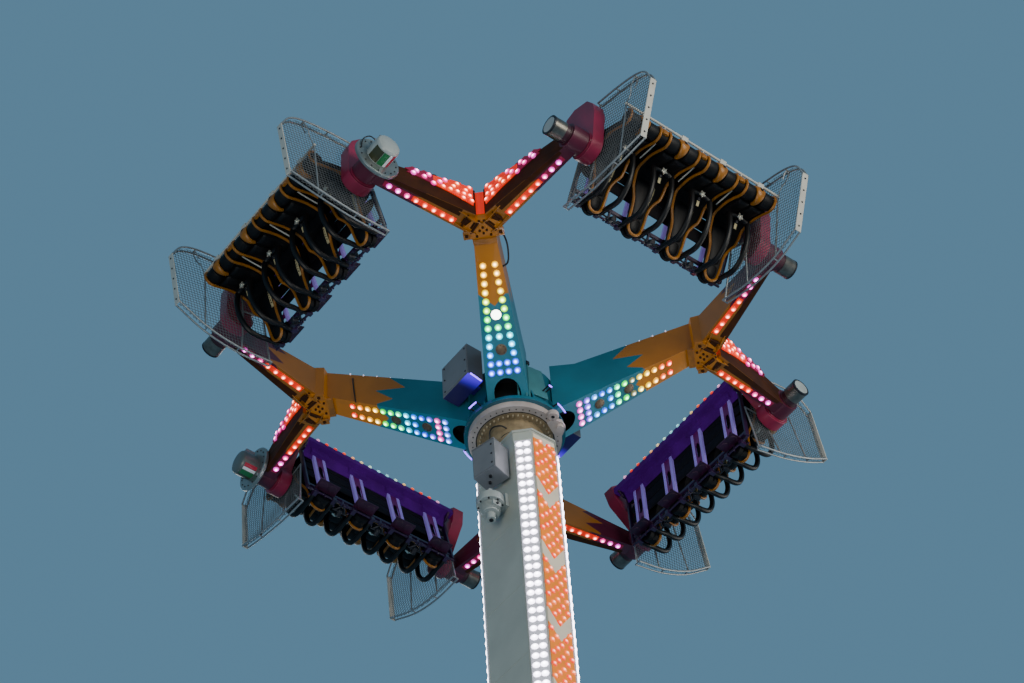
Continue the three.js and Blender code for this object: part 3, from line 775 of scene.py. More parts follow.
def chevron_lamps():
    """Five bent rows of small lamps to each chevron."""
    lamps = Spots()
    for sign in (-1, 1):
        for bay in range(-4, 3):
            for line in range(5):
                for step in (-2, -1, 0, 1, 2):
                    x = step * CHEVRON_STEP
                    foot = CHEVRON_NOTCH + bay * CHEVRON_PITCH - 0.07
                    z = foot - line * CHEVRON_ROW + CHEVRON_RISE * abs(x)
                    if RAIL_BOTTOM + 0.1 < z < CHEVRON_TOP - 0.03:
                        lamps.put((x, sign * (PANEL_FACE + 0.001), z), (0, sign, 0),
                            CHEVRON_TINTS[(line + step) % 3])
    grown("chevron_lamps", "lamps", "chevron_lens", "mast", lamps, Radius=0.045, Rise=0.02)


# Junction box: its place on the mast, and its turn about the upright axis.
BOX_PLACE = (-MAST_DEPTH / 2 - 0.05, -0.13, 0.0)
BOX_TURN = 194
MOTOR_PLACE = (-MAST_DEPTH / 2 - 0.24, -0.11)


def build_junction_box():
    dressed("junction_box", "grey_powder", "mast", 0.006)
    place = Matrix.Translation(BOX_PLACE) @ turn(BOX_TURN)
    door, locks = shapes(2)
    door.block((0.355, -0.175, 7.345), (0.363, 0.175, 7.865))
    door.block((0.045, -0.2, 7.888), (0.37, 0.2, 7.896))
    for z in (7.42, 7.6, 7.79):
        locks.rod((0.36, 0.145, z), (0.371, 0.145, z), 0.016, 10)
    locks.rod((0.15, -0.192, 7.46), (0.15, -0.204, 7.46), 0.02, 10)
    for x, y in ((0.25, 0.02), (0.16, -0.06)):
        locks.rod((x, y, 7.29), (x, y, 7.325), 0.022, 10)
    piece("junction_door", door, "grey_powder", "mast", place, 0.003)
    piece("junction_locks", locks, "dark_steel", "mast", place, 0.002)


def build_gear_motor():
    dressed("gear_motor", "motor_enamel", "mast", 0.004)
    fins, dark = shapes(2)
    x, y = MOTOR_PLACE
    for k in range(5):
        z = 6.69 + 0.026 * k
        fins.turned([(0, 0.118), (0, 0.136), (0.008, 0.136), (0.008, 0.118)], (x, y, z), (x, y, z + 1), 24)
    for angle in turns(8):
        spot = (x + 0.168 * cos(angle), y + 0.168 * sin(angle))
        dark.rod((*spot, 6.806), (*spot, 6.826), 0.014, 6)
    fins.block((x - 0.07, y - 0.15, 6.72), (x + 0.07, y - 0.1, 6.8))
    dark.rod((x, y - 0.15, 6.75), (x, y - 0.17, 6.75), 0.02, 10)
    dark.rod((x, y, 6.538), (x, y, 6.552), 0.03, 12)
    piece("gear_motor_fins", fins, "motor_enamel", "mast", bevel=0.002)
    piece("gear_motor_bolts", dark, "dark_steel", "mast", bevel=0.002)


# Slewing ring and hub.


# Bolt heads under the ring: name, body, finish, ring radius, count, head radius and rise.
RING_BOLTS = (("ring_studs", "mast", "race_enamel", 0.505, 44, 0.013, 0.05),
              ("ring_bolts_mid", "mast", "greased_iron", 0.462, 30, 0.01, 0.02),
              ("ring_plugs", "star", "dark_steel", 0.612, 40, 0.009, 0.012))
RACE_RADIUS = 0.44
LUG_RADIUS = 0.717
LUG_TURN = -79


def build_ring():
    """Inner race with studs on its neck, and the outer ring with its plugs and lug."""
    def on_race(place, _normal):
        return hypot(place.x, place.y) > RACE_RADIUS

    dressed("slew_ring_inner", "greased_iron", "mast", 0.003, parts=[("race_enamel", on_race)])
    dressed("slew_ring_outer", "ring_enamel", "star", 0.004)
    for name, body, finish, radius, count, size, rise in RING_BOLTS:
        bolts = Spots()
        for angle in turns(count):
            bolts.put((radius * cos(angle), radius * sin(angle), RING_Z - 0.004), (0, 0, -1))
        grown(name, "bolts", finish, body, bolts, Radius=size, Rise=rise)
    seal = Shape().hoop(0.5525, 0.5645, RING_Z - 0.003, RING_Z + 0.02, 96)
    piece("ring_seal", seal, "dark_steel", "mast")
    lug, hole = shapes(2)
    place = turn(LUG_TURN)
    top = (LUG_RADIUS, 0, 9)
    lug.turned([(0, 0.07), (0.012, 0.085), (0.07, 0.085)], (LUG_RADIUS, 0, RING_Z - 0.04), top, 28)
    hole.turned([(0, 0.026), (0.01, 0.03)], (LUG_RADIUS, 0, RING_Z - 0.042), top, 16)
    piece("ring_lug", lug, "ring_enamel", "star", place, 0.004)
    piece("ring_lug_hole", hole, "cable_rubber", "star", place)


def mast_hoses():
    """Two black hoses from the mast's top plate up to the neck of the ring."""
    strapped("mast_hose_outer", [(-0.395, 0.02, 8.3), (-0.47, 0.0, 8.45), (-0.5, -0.1, 8.52),
        (-0.44, -0.22, 8.5), (-0.36, -0.26, 8.46)], 0.022, "mast")
    strapped("mast_hose_inner", [(-0.37, -0.1, 8.245), (-0.385, -0.17, 8.33), (-0.33, -0.26, 8.38),
        (-0.24, -0.33, 8.36), (-0.2, -0.37, 8.27)], 0.022, "mast")


# Posts round the hub: angle in degrees and height of the top.
HUB_POSTS = ((-122.5, 9.1), (-113.0, 9.55), (-109.5, 9.55), (57.5, 9.1), (67.0, 9.55))
HUB_POST_RADIUS = 0.712
# Violet light tubes round the hub: first and last angle, and height.
HUB_TUBES = ((-181, -170, 8.86), (-77, -62, 8.86), (-88, -84, 9.14), (-1, 10, 8.86), (103, 118, 8.86))
HUB_TUBE_RADIUS = 0.8


def build_hub():
    dressed("hub_body", "hub_enamel", "star", 0.005)
    posts, tubes, fittings, plates = shapes(4)
    for angle, high in HUB_POSTS:
        spot = turn(angle) @ Vector((HUB_POST_RADIUS, 0, 0))
        posts.rod((spot.x, spot.y, 8.82), (spot.x, spot.y, high), 0.014, 10)
        fittings.block((spot.x - 0.025, spot.y - 0.025, high - 0.02),
            (spot.x + 0.025, spot.y + 0.025, high + 0.05))
    for start, end, z in HUB_TUBES:
        path = [turn(start + (end - start) * k / 4) @ Vector((HUB_TUBE_RADIUS, 0, z)) for k in range(5)]
        tubes.swept(path, 0.011, sides=8)
        for spot in (path[0], path[-1]):
            inwards = Vector((-spot.x, -spot.y, 0)).normalized()
            fittings.rod(spot, spot + inwards * 0.14, 0.012, 6)
    upright = Matrix(((0, 0, 1, 0.652), (1, 0, 0, 0), (0, 1, 0, 0), (0, 0, 0, 1)))
    for angle in (-98, 82):
        plate = Shape().prism([(-0.16, 8.99), (0.2, 8.99), (0.12, 9.57), (-0.2, 9.57)], -0.006, 0.006)
        plates.join(plate, turn(angle) @ upright)
    piece("hub_posts", posts, "hub_pale", "star")
    piece("hub_fittings", fittings, "dark_steel", "star", bevel=0.002)
    piece("hub_plates", plates, "hub_pale", "star", bevel=0.003)
    piece("hub_light_tubes", tubes, "violet_tube", "star")


# Cabinets on the hub: outer face, half width, underside, top, and place of the light tube.
CABINETS = ((-1.032, 0.3, 9.196, 9.856, -0.31), (1.062, 0.24, 9.196, 9.756, 0.24))


def build_cabinets():
    # The faces that look down are painted dark violet with a violet glow: painted shade and painted light.
    under = [("violet_powder", lambda _place, normal: normal.z < -0.5)]
    dressed("cabinet_large", "grey_powder", "star", 0.006, parts=under)
    dressed("cabinet_small", "grey_powder", "star", 0.006, parts=under)
    doors, locks, tubes = shapes(3)
    for outer, half, low, high, violet in CABINETS:
        sign = 1 if outer > 0 else -1
        near, far = sorted((outer, outer + sign * 0.008))
        doors.block((near, -half + 0.02, low + 0.03), (far, half - 0.03, high - 0.03))
        for z in (low + 0.08, (low + high) / 2, high - 0.08):
            for y in (0.06 - half, half - 0.06):
                locks.rod((outer, y, z), (outer + sign * 0.016, y, z), 0.015, 10)
        below = low - 0.012
        tubes.rod((outer - sign * 0.03, violet, below), (outer - sign * 0.24, violet * 0.92, below), 0.012, 8)
    piece("cabinet_doors", doors, "grey_powder", "star", bevel=0.003)
    piece("cabinet_locks", locks, "dark_steel", "star", bevel=0.002)
    piece("cabinet_tubes", tubes, "violet_tube", "star")


# Arms and forks.


def arm_height(radius, column):
    """Low (column 2) or high (column 3) z of an arm at a distance from the axis."""
    start, end = (ARM_ROOT, ARM_KNEE) if radius < ARM_KNEE[0] else (ARM_KNEE, ARM_TIP)
    share = (radius - start[0]) / (end[0] - start[0])
    return start[column] + (end[column] - start[column]) * share


def arm_uv(azimuth):
    """Paint coordinates of an arm: metres out from the axis, and the place across its underside or side."""
    back = turn(-azimuth)

    def place(point, normal):
        own = back @ point
        facing = back.to_3x3() @ normal
        if abs(facing.y) > 0.5:
            return own.x, 0.5 + (own.z - arm_height(own.x, 2)) / 2
        return own.x, 0.25 + own.y / 2

    return place


def in_pocket(azimuth):
    """A test for the faces inside the pocket under an arm's root."""
    back = turn(-azimuth)

    def inside(place, normal):
        own = back @ place
        above = own.z - arm_height(own.x, 2)
        return abs(own.y) < 0.2 and own.x < 0.92 and 0.02 < above < 0.36

    return inside


# Discs under each arm: distance from the axis. The outer one of the near arm holds the strobe.
DISC_RADII = (1.705, 1.258)


def disc_place(radius):
    """Middle of a disc's back under an arm, and the way it faces, in the arm's own directions."""
    facing = Vector((arm_slope(), 0, -1)).normalized()
    return Vector((radius, 0, arm_height(radius, 2))) - facing * 0.004, facing


def build_arms():
    for name, azimuth in ARMS.items():
        dressed(f"arm_{name}", "arm_enamel", "star", 0.008, arm_uv(azimuth),
                [("dark_recess", in_pocket(azimuth))])
    discs, bolts, mouths = shapes(3)
    aside = Vector((0, 1, 0))
    for azimuth in ARMS.values():
        place = turn(azimuth)
        outline = arc((0, 0), 0.648, -16, 16, 8) + arc((0, 0), 0.642, 16, -16, 8)
        mouths.join(Shape().prism(outline, 8.87, 9.24), place)
        for radius in DISC_RADII:
            start, facing = disc_place(radius)
            discs.join(Shape().turned([(0, 0.08), (0.012, 0.08), (0.018, 0.07)], start, start + facing, 28),
                place)
            for angle in turns(8):
                head = start + (aside * cos(angle) + facing.cross(aside) * sin(angle)) * 0.062
                bolts.join(Shape().rod(head, head + facing * 0.022, 0.007, 6), place)
    strobe = Shape().turned([(0.018, 0.072), (0.028, 0.06), (0.032, 0.03)], (0, 0, 0), (0, 0, 1), 28)
    start, facing = disc_place(DISC_RADII[0])
    stand = turn(ARMS["near"]) @ Matrix.Translation(start) @ facing.to_track_quat("Z",
        "X").to_matrix().to_4x4()
    piece("arm_near_strobe", strobe, "strobe_glass", "star", stand)
    piece("arm_mouths", mouths, "dark_recess", "star")
    piece("arm_discs", discs, "disc_brass", "star", bevel=0.002)
    piece("arm_disc_bolts", bolts, "dark_steel", "star")


def arm_slope():
    return (ARM_TIP[2] - ARM_KNEE[2]) / (ARM_TIP[0] - ARM_KNEE[0])


# Colours of the lamps under each arm, from the node to the hub.
RAMPS = {
    "near": ("#ffb800", "#ffbc00", "#ffc400", "#ffcc00", "#d8ff00", "#a0ff10", "#10ff60", "#00ff90",
             "#00e8ff", "#00c8ff", "#0090ff", "#1060ff", "#2058ff"),
    "right": ("#ff3000", "#ff6000", "#ffb400", "#ffcc00", "#ffe040", "#6a6a40", "#00ff50", "#00ffa0",
              "#0088ff", "#1060ff", "#40a0ff", "#8060ff", "#ff60e0"),
    "left": ("#ff3000", "#ff8800", "#ffb000", "#ffc000", "#20ff40", "#00ff60", "#00ffa0", "#00d8ff",
             "#0080ff", "#1058ff", "#6060ff", "#ff50c0", "#5080ff"),
}
RAMPS["far"] = RAMPS["near"]
# How many lamps each row under an arm has, from the node to the hub.
LAMP_ROWS = (2, 2, 2, 2, 2, 2, 2, 3, 3, 2, 2, 4, 4)


# First row of lamps under an arm, and the distance between rows.
FIRST_ARM_ROW = 2.333
ARM_ROW_PITCH = 0.1134


def arm_lamps():
    """Thirteen rows under each arm, two lamps at the tip and four by the hub."""
    lamps = Spots()
    down = Vector((arm_slope(), 0, -1)).normalized()
    for name, azimuth in ARMS.items():
        place = turn(azimuth)
        for row, (count, colour) in enumerate(zip(LAMP_ROWS, RAMPS[name])):
            radius = FIRST_ARM_ROW - row * ARM_ROW_PITCH
            half = 0.085 + 0.0083 * row
            for k in range(count):
                spot = Vector((radius, -half + 2 * half * k / (count - 1), arm_height(radius, 2) - 0.002))
                lamps.put(place @ spot, place.to_3x3() @ down, colour)
    radius = bpy.context.scene.ride_sizes.arm_lamp
    grown("arm_lamps", "lamps", "lamp_lens", "star", lamps, Radius=radius, Rise=0.024)


def arm_top_lamps():
    """Small white lamps along the upper edges of the arms, apart from the near one."""
    lamps = Spots()
    for name, azimuth in ARMS.items():
        if name == "near":
            continue
        for k in range(9):
            radius = 0.75 + 0.2 * k
            aside = 0.25 - 0.06 * k / 8
            for side in (-1, 1):
                spot = Vector((radius, side * aside, arm_height(radius, 3) + 0.004))
                lamps.put(turn(azimuth) @ spot, Vector((0, 0, 1)), "#e8e4ff")
    grown("arm_top_lamps", "lamps", "lamp_lens", "star", lamps, Radius=0.012, Rise=0.018)


def fork_frame(name, sign):
    """From a fork branch's own directions (out along it, aside, up) to the ride's."""
    corner = NODE_RADIUS * sqrt(0.5)
    start = Vector((corner, sign * corner, PIVOT_Z))
    end = Vector((PIVOT_RADIUS, sign * HALF_SPAN, PIVOT_Z))
    angle = atan2(end.y - start.y, end.x - start.x)
    return turn(GONDOLAS[name][0]) @ Matrix.Translation(start) @ Matrix.Rotation(angle, 4,
        "Z"), (end - start).length


def branch_half(x, reach):
    """Half width of a fork branch at a distance along it."""
    return 0.165 - (x - 0.2) / (reach - 0.26) * 0.065


def branch_low(x, reach):
    """Height of its underside."""
    return -0.29 + (x - 0.2) / (reach - 0.26) * 0.14


def branch_top(x, reach):
    """Height of its upper face."""
    return 0.28 - (x - 0.2) / (reach - 0.26) * 0.13


def branch_uv(own, reach):
    """Paint coordinates of a fork branch, as arm_uv gives them for an arm."""
    back = own.inverted()

    def place(point, normal):
        spot = back @ point
        if abs((back.to_3x3() @ normal).y) > 0.5:
            return spot.x, 0.5 + (spot.z - branch_low(spot.x, reach)) / 2
        return spot.x, 0.25 + spot.y / 2

    return place


def faces_fork(own, sign, reach):
    """A test for the side of a branch that looks into the fork."""
    back = own.inverted()

    def inside(point, normal):
        return (back.to_3x3() @ normal).y * sign > 0.9 and (back @ point).x < reach - 0.3

    return inside


def lamp_line(x, sign):
    """How far aside the lamps under a branch sit, at a distance along it."""
    return -sign * (0.07 - 0.05 * (x - 0.466))


def under_strip(reach, low, high, inner, outer, thick):
    """A thin strip under a branch between two distances along it, each edge given at both of its ends."""
    corners = [(low, inner[0]), (high, inner[1]), (high, outer[1]), (low, outer[0])]
    return Shape().slab([(x, y, branch_low(x, reach)) for x, y in corners], (0, 0, -1), thick)


def build_forks():
    """Painted branches, lit strips under them and stepped lamp boards inside the forks; dark strips under the
    branches and the sides that look into the forks are painted shade.
    """
    ember, rose, shadow_strips = shapes(3)
    for name, side, sign in BRANCHES:
        own, reach = fork_frame(name, sign)
        # The side of a branch that looks into the fork is painted near brown: painted shade.
        dressed(f"fork_{name}_{side}", "fork_enamel", "star", 0.006, branch_uv(own, reach),
                [("sooty_enamel", faces_fork(own, sign, reach))])
        for shape, low, high in ((ember, 0.4, 1.1), (rose, 1.1, 1.56)):
            near, far = lamp_line(low, sign), lamp_line(high, sign)
            shape.join(under_strip(reach, low, high, (near - 0.05, far - 0.045), (near + 0.05, far + 0.045),
                0.006), own)
        # A near-brown strip beside the lamp line under the branch: painted shade.
        edges = [sign * (branch_half(x, reach) - 0.004) for x in (0.4, 1.6)]
        shadow_strips.join(under_strip(reach, 0.4, 1.6, (sign * 0.03, sign * 0.05), edges, 0.004), own)
        for shape, outline in ((ember, BOARD_INNER), (rose, BOARD_OUTER)):
            corners = [(x, sign * (branch_half(x, reach) + 0.001), board_height(x, share, reach)) for x,
                share in outline]
            shape.join(Shape().slab(corners, (0, sign, 0), 0.016), own)
    face = Shape().block((NODE_RADIUS + 0.188, -0.115, PIVOT_Z - 0.2),
        (NODE_RADIUS + 0.202, 0.115, PIVOT_Z + 0.298))
    for azimuth in ARMS.values():
        ember.join(face, turn(azimuth))
    piece("fork_soot_strips", shadow_strips, "sooty_enamel", "star")
    piece("fork_boards_inner", ember, "ember_enamel", "star", bevel=0.003)
    piece("fork_boards_outer", rose, "rose_enamel", "star", bevel=0.003)


# Outline of a lamp board: distance along the branch, and height from the middle (0) to above its top (1).
BOARD_INNER = [(0.24, -0.35), (0.55, -0.02), (0.86, 0.22), (0.86, 1.0), (0.6, 1.0), (0.6, 1.1), (0.42, 1.1),
               (0.42, 1.0), (0.24, 1.0)]
BOARD_OUTER = [(0.86, 0.22), (1.1, 0.4), (1.27, 0.52), (1.22, 0.72), (1.3, 0.86), (1.24, 1.0), (1.18, 1.22),
               (1.06, 1.0), (1.0, 1.2), (0.9, 1.0), (0.86, 1.0)]


def board_height(x, share, reach):
    """Height of a point of a lamp board."""
    return (branch_top(min(x, 1.3), reach) + 0.03) * share


# Tints of the lamps under a branch, from the arm's tip outwards.
UNDER_TINTS = ("#ff4a10", "#ff4208", "#ff4208", "#ff3a10", "#ff3410", "#ff30a0", "#ff50d0", "#ff50e0")
# Rows of lamps on the boards: height as in the boards' outlines, and distances along the branch.
BOARD_ROWS = ((0.86, (0.3, 0.49, 0.68, 0.93, 1.12)), (0.56, (0.36, 0.55, 0.76, 1.0, 1.17)),
              (0.24, (0.3, 0.39, 0.49, 0.6, 0.71, 0.86)), (-0.1, (0.27, 0.4)))
BOARD_TINTS = ("#ff4210", "#ff5a18", "#ff4a20", "#ff30a0", "#ff50c8")


def fork_lamps():
    """Eight lamps under each branch, and short rows on the board that looks into the fork."""
    lamps = Spots()
    for name, _, sign in BRANCHES:
        own, reach = fork_frame(name, sign)
        turned = own.to_3x3()
        for i, colour in enumerate(UNDER_TINTS):
            x = 0.466 + 0.1435 * i
            spot = Vector((x, lamp_line(x, sign), branch_low(x, reach) - 0.008))
            lamps.put(own @ spot, turned @ Vector((0, 0, -1)), colour)
        for share, places in BOARD_ROWS:
            for i, x in enumerate(places):
                spot = Vector((x, sign * (branch_half(x, reach) + 0.018), board_height(x, share, reach)))
                colour = BOARD_TINTS[min(int((x - 0.24) / 0.21) + (i % 3 == 2), 4)]
                lamps.put(own @ spot, turned @ Vector((0, sign, 0)), colour)
    radius = 0.046
    grown("fork_lamps", "lamps", "lamp_lens", "star", lamps, Radius=radius, Rise=0.024)


# Outline of a cheek beside a channel's mouth, along the branch and up.
MOUTH_CHEEK = [(0.06, -0.34), (0.2, -0.365), (0.44, -0.272), (0.44, -0.25), (0.06, -0.3)]
MOUTH = [(0.15, -0.06, -0.318), (0.33, -0.05, -0.296), (0.33, 0.05, -0.296), (0.15, 0.06, -0.318)]
# Turns a prism's outline from the level plane to the plane along a branch.
FLIPPED = Matrix(((1, 0, 0, 0), (0, 0, 1, 0), (0, 1, 0, 0), (0, 0, 0, 1)))
# Bolts and the outline of an ear under each arm's tip, out from the axis and aside.
TIP_BOLTS = ((2.80, 0.0), (2.85, 0.05), (2.85, -0.05), (2.9, 0.0), (2.76, 0.1), (2.76, -0.1))
TIP_EAR = [(2.74, -0.05), (2.86, -0.05), (2.9, 0.0), (2.86, 0.05), (2.74, 0.05)]
TIP_LOW = PIVOT_Z - 0.32


def conduit(x, top, sign):
    path = [(x - 0.1, sign * 0.08, top - 0.01), (x - 0.09, sign * 0.08, top + 0.09),
        (x, sign * 0.09, top + 0.15), (x + 0.09, sign * 0.08, top + 0.07),
        (x + 0.1, sign * 0.08, top - 0.03)]
    return Shape().swept(smooth_path(path, 5), 0.009, sides=6)


def tip_parts(flanges, pins, place):
    """Bolts, ears with their pins, and a lip under an arm's tip."""
    for x, y in TIP_BOLTS:
        pins.join(Shape().rod((x, y, TIP_LOW + 0.002), (x, y, TIP_LOW - 0.02), 0.018, 8), place)
    for y in (-0.24, 0.24):
        flanges.join(Shape().prism([(h, n + y) for h, n in TIP_EAR], TIP_LOW - 0.035, TIP_LOW), place)
        pins.join(Shape().rod((2.81, y, TIP_LOW), (2.81, y, TIP_LOW - 0.05), 0.026, 10), place)
    flanges.join(Shape().block((2.62, -0.17, PIVOT_Z - 0.345), (2.71, 0.17, PIVOT_Z - 0.3)), place)


def build_nodes():
    """Channel mouths, pins and bolts under each arm's tip, and cable loops on top."""
    flanges, dark, pins, loops = shapes(4)
    for name, _, sign in BRANCHES:
        own, reach = fork_frame(name, sign)
        for y in (-0.1, 0.1):
            flanges.join(Shape().prism(MOUTH_CHEEK, y - 0.007, y + 0.007), own @ FLIPPED)
        # A near-brown slab in each channel's mouth: painted shade.
        dark.join(Shape().slab(MOUTH, (0, 0, -1), 0.006), own)
        pins.join(Shape().rod((0.13, -0.125, -0.332), (0.13, 0.125, -0.332), 0.02, 10), own)
        pins.join(Shape().rod((0.3, -0.118, -0.3), (0.3, 0.118, -0.3), 0.014, 10), own)
        for x in (0.5, 0.8):
            loops.join(conduit(x, branch_top(x + 0.1, reach), sign), own)
    for azimuth in ARMS.values():
        tip_parts(flanges, pins, turn(azimuth))
    piece("node_flanges", flanges, "amber_enamel", "star", bevel=0.002)
    piece("node_recesses", dark, "sooty_enamel", "star")
    piece("node_pins", pins, "sooty_enamel", "star", bevel=0.002)
    piece("fork_top_conduits", loops, "cable_rubber", "star")


def arm_cables():
    """The black cable beside the near arm's tip and the strap cable over the left arm."""
    near = [turn(ARMS["near"]) @ Vector(p) for p in ((2.77, 0.2, 10.02), (2.73, 0.264, 9.96),
        (2.586, 0.299, 9.92), (2.403, 0.293, 9.88), (2.289, 0.26, 9.85), (2.24, 0.17, 9.84))]
    strapped("near_arm_cable", near, 0.026, "star")
    half = 0.19
    left = [turn(ARMS["left"]) @ Vector(p) for p in ((2.27, half - 0.005, 9.76), (2.28, half + 0.03, 9.86),
        (2.3, half + 0.03, 10.1), (2.31, half + 0.025, 10.27), (2.32, half - 0.05, 10.33),
        (2.32, half - 0.11, 10.29))]
    strapped("left_arm_strap", left, 0.02, "star")


def housing_frame(name, sign):
    """From a pivot housing's own directions (out, up, along the pivot's line) to the ride's."""
    axes = Matrix(((1, 0, 0, 0), (0, 0, sign, 0), (0, 1, 0, 0), (0, 0, 0, 1)))
    return turn(GONDOLAS[name][0]) @ Matrix.Translation((PIVOT_RADIUS, 0, PIVOT_Z)) @ axes


def build_fork_ends():
    """Stubs with brushed sleeves, pale caps and dark rims, and the drive motors."""
    stubs, tubes, caps, rims = shapes(4)
    outer = HALF_SPAN + HOUSING_THICK / 2
    for name in GONDOLAS:
        for sign in (-1, 1):
            if MOTOR_SIDES.get(name) == sign:
                continue
            own = housing_frame(name, sign)
            radius = TUBE_RADIUS + 0.003
            parts = ((stubs, [(outer + 0.002, radius + 0.012), (outer + 0.02, radius + 0.012),
                (outer + 0.022, radius), (1.992, radius), (1.992, 0.12)]),
                (tubes, [(1.99, radius), (1.992, radius + 0.006), (TUBE_END - 0.004, radius + 0.006),
                (TUBE_END - 0.004, 0.12)]), (rims, [(TUBE_END - 0.022, radius + 0.005),
                (TUBE_END - 0.022, radius + 0.009), (TUBE_END + 0.003, radius + 0.009),
                (TUBE_END + 0.004, 0.118)]), (caps, [(TUBE_END - 0.01, 0.12), (TUBE_END + 0.006, 0.12),
                (TUBE_END + 0.008, 0.105), (TUBE_END + 0.006, 0.04)]))
            for shape, profile in parts:
                turned = Shape().turned([(along - 1, wide) for along, wide in profile], (0, 0, 1),
                    (0, 0, 2), 36)
                shape.join(turned, own)
    piece("stub_roots", stubs, "magenta_enamel", "star")
    piece("stub_tubes", tubes, "brushed_tube", "star")
    piece("stub_rims", rims, "dark_steel", "star")
    piece("stub_caps", caps, "motor_enamel", "star")
    for name in MOTOR_SIDES:
        build_motor(name)


# Plain colour bands round a drive motor's body: finish, first and last angle from the outward direction.
MOTOR_BANDS = (("band_red", -140, -122), ("band_white", -120, -106), ("band_green", -104, -76),
               ("band_olive", -74, -26))


def build_motor(name):
    """A drive motor: boss, pale disc, round body under a dome, terminal box, colour bands and cable."""
    face = HALF_SPAN + HOUSING_THICK / 2
    own = housing_frame(name, MOTOR_SIDES[name])
    ends = (0, 0, face), (0, 0, 3)
    disc = Shape().turned([(0, 0.1), (0.034, 0.1), (0.034, 0.335), (0.05, 0.36), (0.088, 0.36),
        (0.104, 0.345), (0.098, 0.3), (0.098, 0.19)], *ends, 48)
    dome = Shape().turned([(0.096, 0.188), (0.325, 0.188), (0.345, 0.186), (0.368, 0.17), (0.384, 0.13),
        (0.392, 0.07)], *ends, 48)
    box = Shape().block((-0.09, 0.16, face + 0.13), (0.09, 0.268, face + 0.28))
    box.block((-0.06, 0.268, face + 0.16), (0.06, 0.276, face + 0.25))
    box.rod((0.09, 0.22, face + 0.2), (0.13, 0.22, face + 0.2), 0.018, 10)
    motor = f"drive_motor_{name}"
    made = piece(f"{motor}_disc", disc, "motor_steel", "star", own, 0.004)
    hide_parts(motor)
    # Motor c takes the darker copy of the enamel: painted shade.
    finish = "motor_enamel" if name == "a" else "motor_grey"
    piece(f"{motor}_body", dome, finish, "star", own)
    piece(f"{motor}_box", box, "grey_powder", "star", own, 0.006)
    for finish, first, last in MOTOR_BANDS:
        outline = arc((0, 0), 0.192, first, last, 8) + arc((0, 0), 0.186, last, first, 8)
        piece(f"{motor}_{finish}", Shape().prism(outline, face + 0.11, face + 0.322), finish, "star",
            own)
    bolts = Spots()
    for angle in turns(16):
        spot = Vector((0.3 * cos(angle), 0.3 * sin(angle), face + 0.1))
        bolts.put(own @ spot, own.to_3x3() @ Vector((0, 0, 1)))
    grown(f"{motor}_bolts", "bolts", "dark_steel", "star", bolts, Radius=0.012, Rise=0.014)
    cable = ((0.125, 0.22, 0.2), (0.2, 0.24, 0.19), (0.27, 0.19, 0.15), (0.29, 0.1, 0.125),
        (0.28, 0.02, 0.103))
    strapped(f"{motor}_cable", [own @ Vector((x, y, face + z)) for x, y, z in cable], 0.018, "star")


# Gondolas.


SIDE_ARM = [(-0.65, -0.665), (-0.4, -0.58), (-0.06, -0.215)] + arc((0, 0), 0.23, -75, 105, 14) + [
    (-0.56, 0.06), (-0.72, -0.05), (-0.825, -0.23), (-0.78, -0.52)]


# Outlines in the head and front directions: a bracket under the lamp beam, an end board and a cross rib.
BEAM_BRACKET = [(-0.53, -0.504), (-0.44, -0.47), (-0.44, -0.44), (-0.53, -0.44)]
BOARD_SHAPE = [(-0.63, -0.62), (-0.515, -0.62), (-0.42, -0.52), (-0.42, -0.45), (0.56, -0.45), (0.56, -0.38),
               (-0.5, -0.38), (-0.63, -0.5)]
RIB_SHAPE = [(0.425, -0.425), (0.56, -0.425), (0.625, -0.45), (0.645, -0.425), (0.625, -0.385),
    (0.56, -0.376), (0.425, -0.376)]
# Tints of the lamps along the beam.
BEAM_TINTS = ("#ffb0e0", "#ff4020", "#ff4820", "#ff6030", "#ffb070", "#ffe0a0", "#d0ffe0", "#a0f8ff",
              "#a0f8ff", "#d0ffe0", "#ffd080", "#ff6830", "#ff4020", "#ff4020", "#ffb0e0")
BEAM_LAMP_PITCH = 0.163


def span(side, near, far):
    """Two distances along the row on one side of it, the lower first."""
    return sorted((side * near, side * far))


def frame_beam(body, matrix):
    """Lamp beam with its brackets and hood, and the two side arms."""
    beam, hood, arms = shapes(3)
    beam.block((-0.632, -0.624, -SIDE_ARM_INNER), (-0.512, -0.504, SIDE_ARM_INNER))
    for t in SEATS:
        beam.block((-0.53, -0.53, t - 0.16), (-0.40, -0.43, t + 0.16))
        beam.prism(BEAM_BRACKET, t - 0.19, t + 0.19)
    hood.slab([(-0.52, -0.51, -END_BOARD), (-0.52, -0.51, END_BOARD), (-0.33, -0.432, END_BOARD),
        (-0.33, -0.432, -END_BOARD)], (0, 1, 0), 0.01)
    for side in (-1, 1):
        arms.prism(SIDE_ARM, *span(side, SIDE_ARM_INNER, SIDE_ARM_OUTER))
        arms.turned([(0, 0.2), (0.012, 0.2), (0.019, 0.13)], (0, 0, side * SIDE_ARM_OUTER),
            (0, 0, side * (SIDE_ARM_OUTER + 1)), 32)
    made = row_pieces(body, matrix, [
        ("beam", beam, "purple_enamel", "gondola_purple", 0.006),
        ("hood", hood, "purple_enamel", "gondola_purple", 0),
        ("side_arms", arms, "side_enamel", "fork_magenta", 0.03)])
    made.modifiers["edge_round"].segments = 4


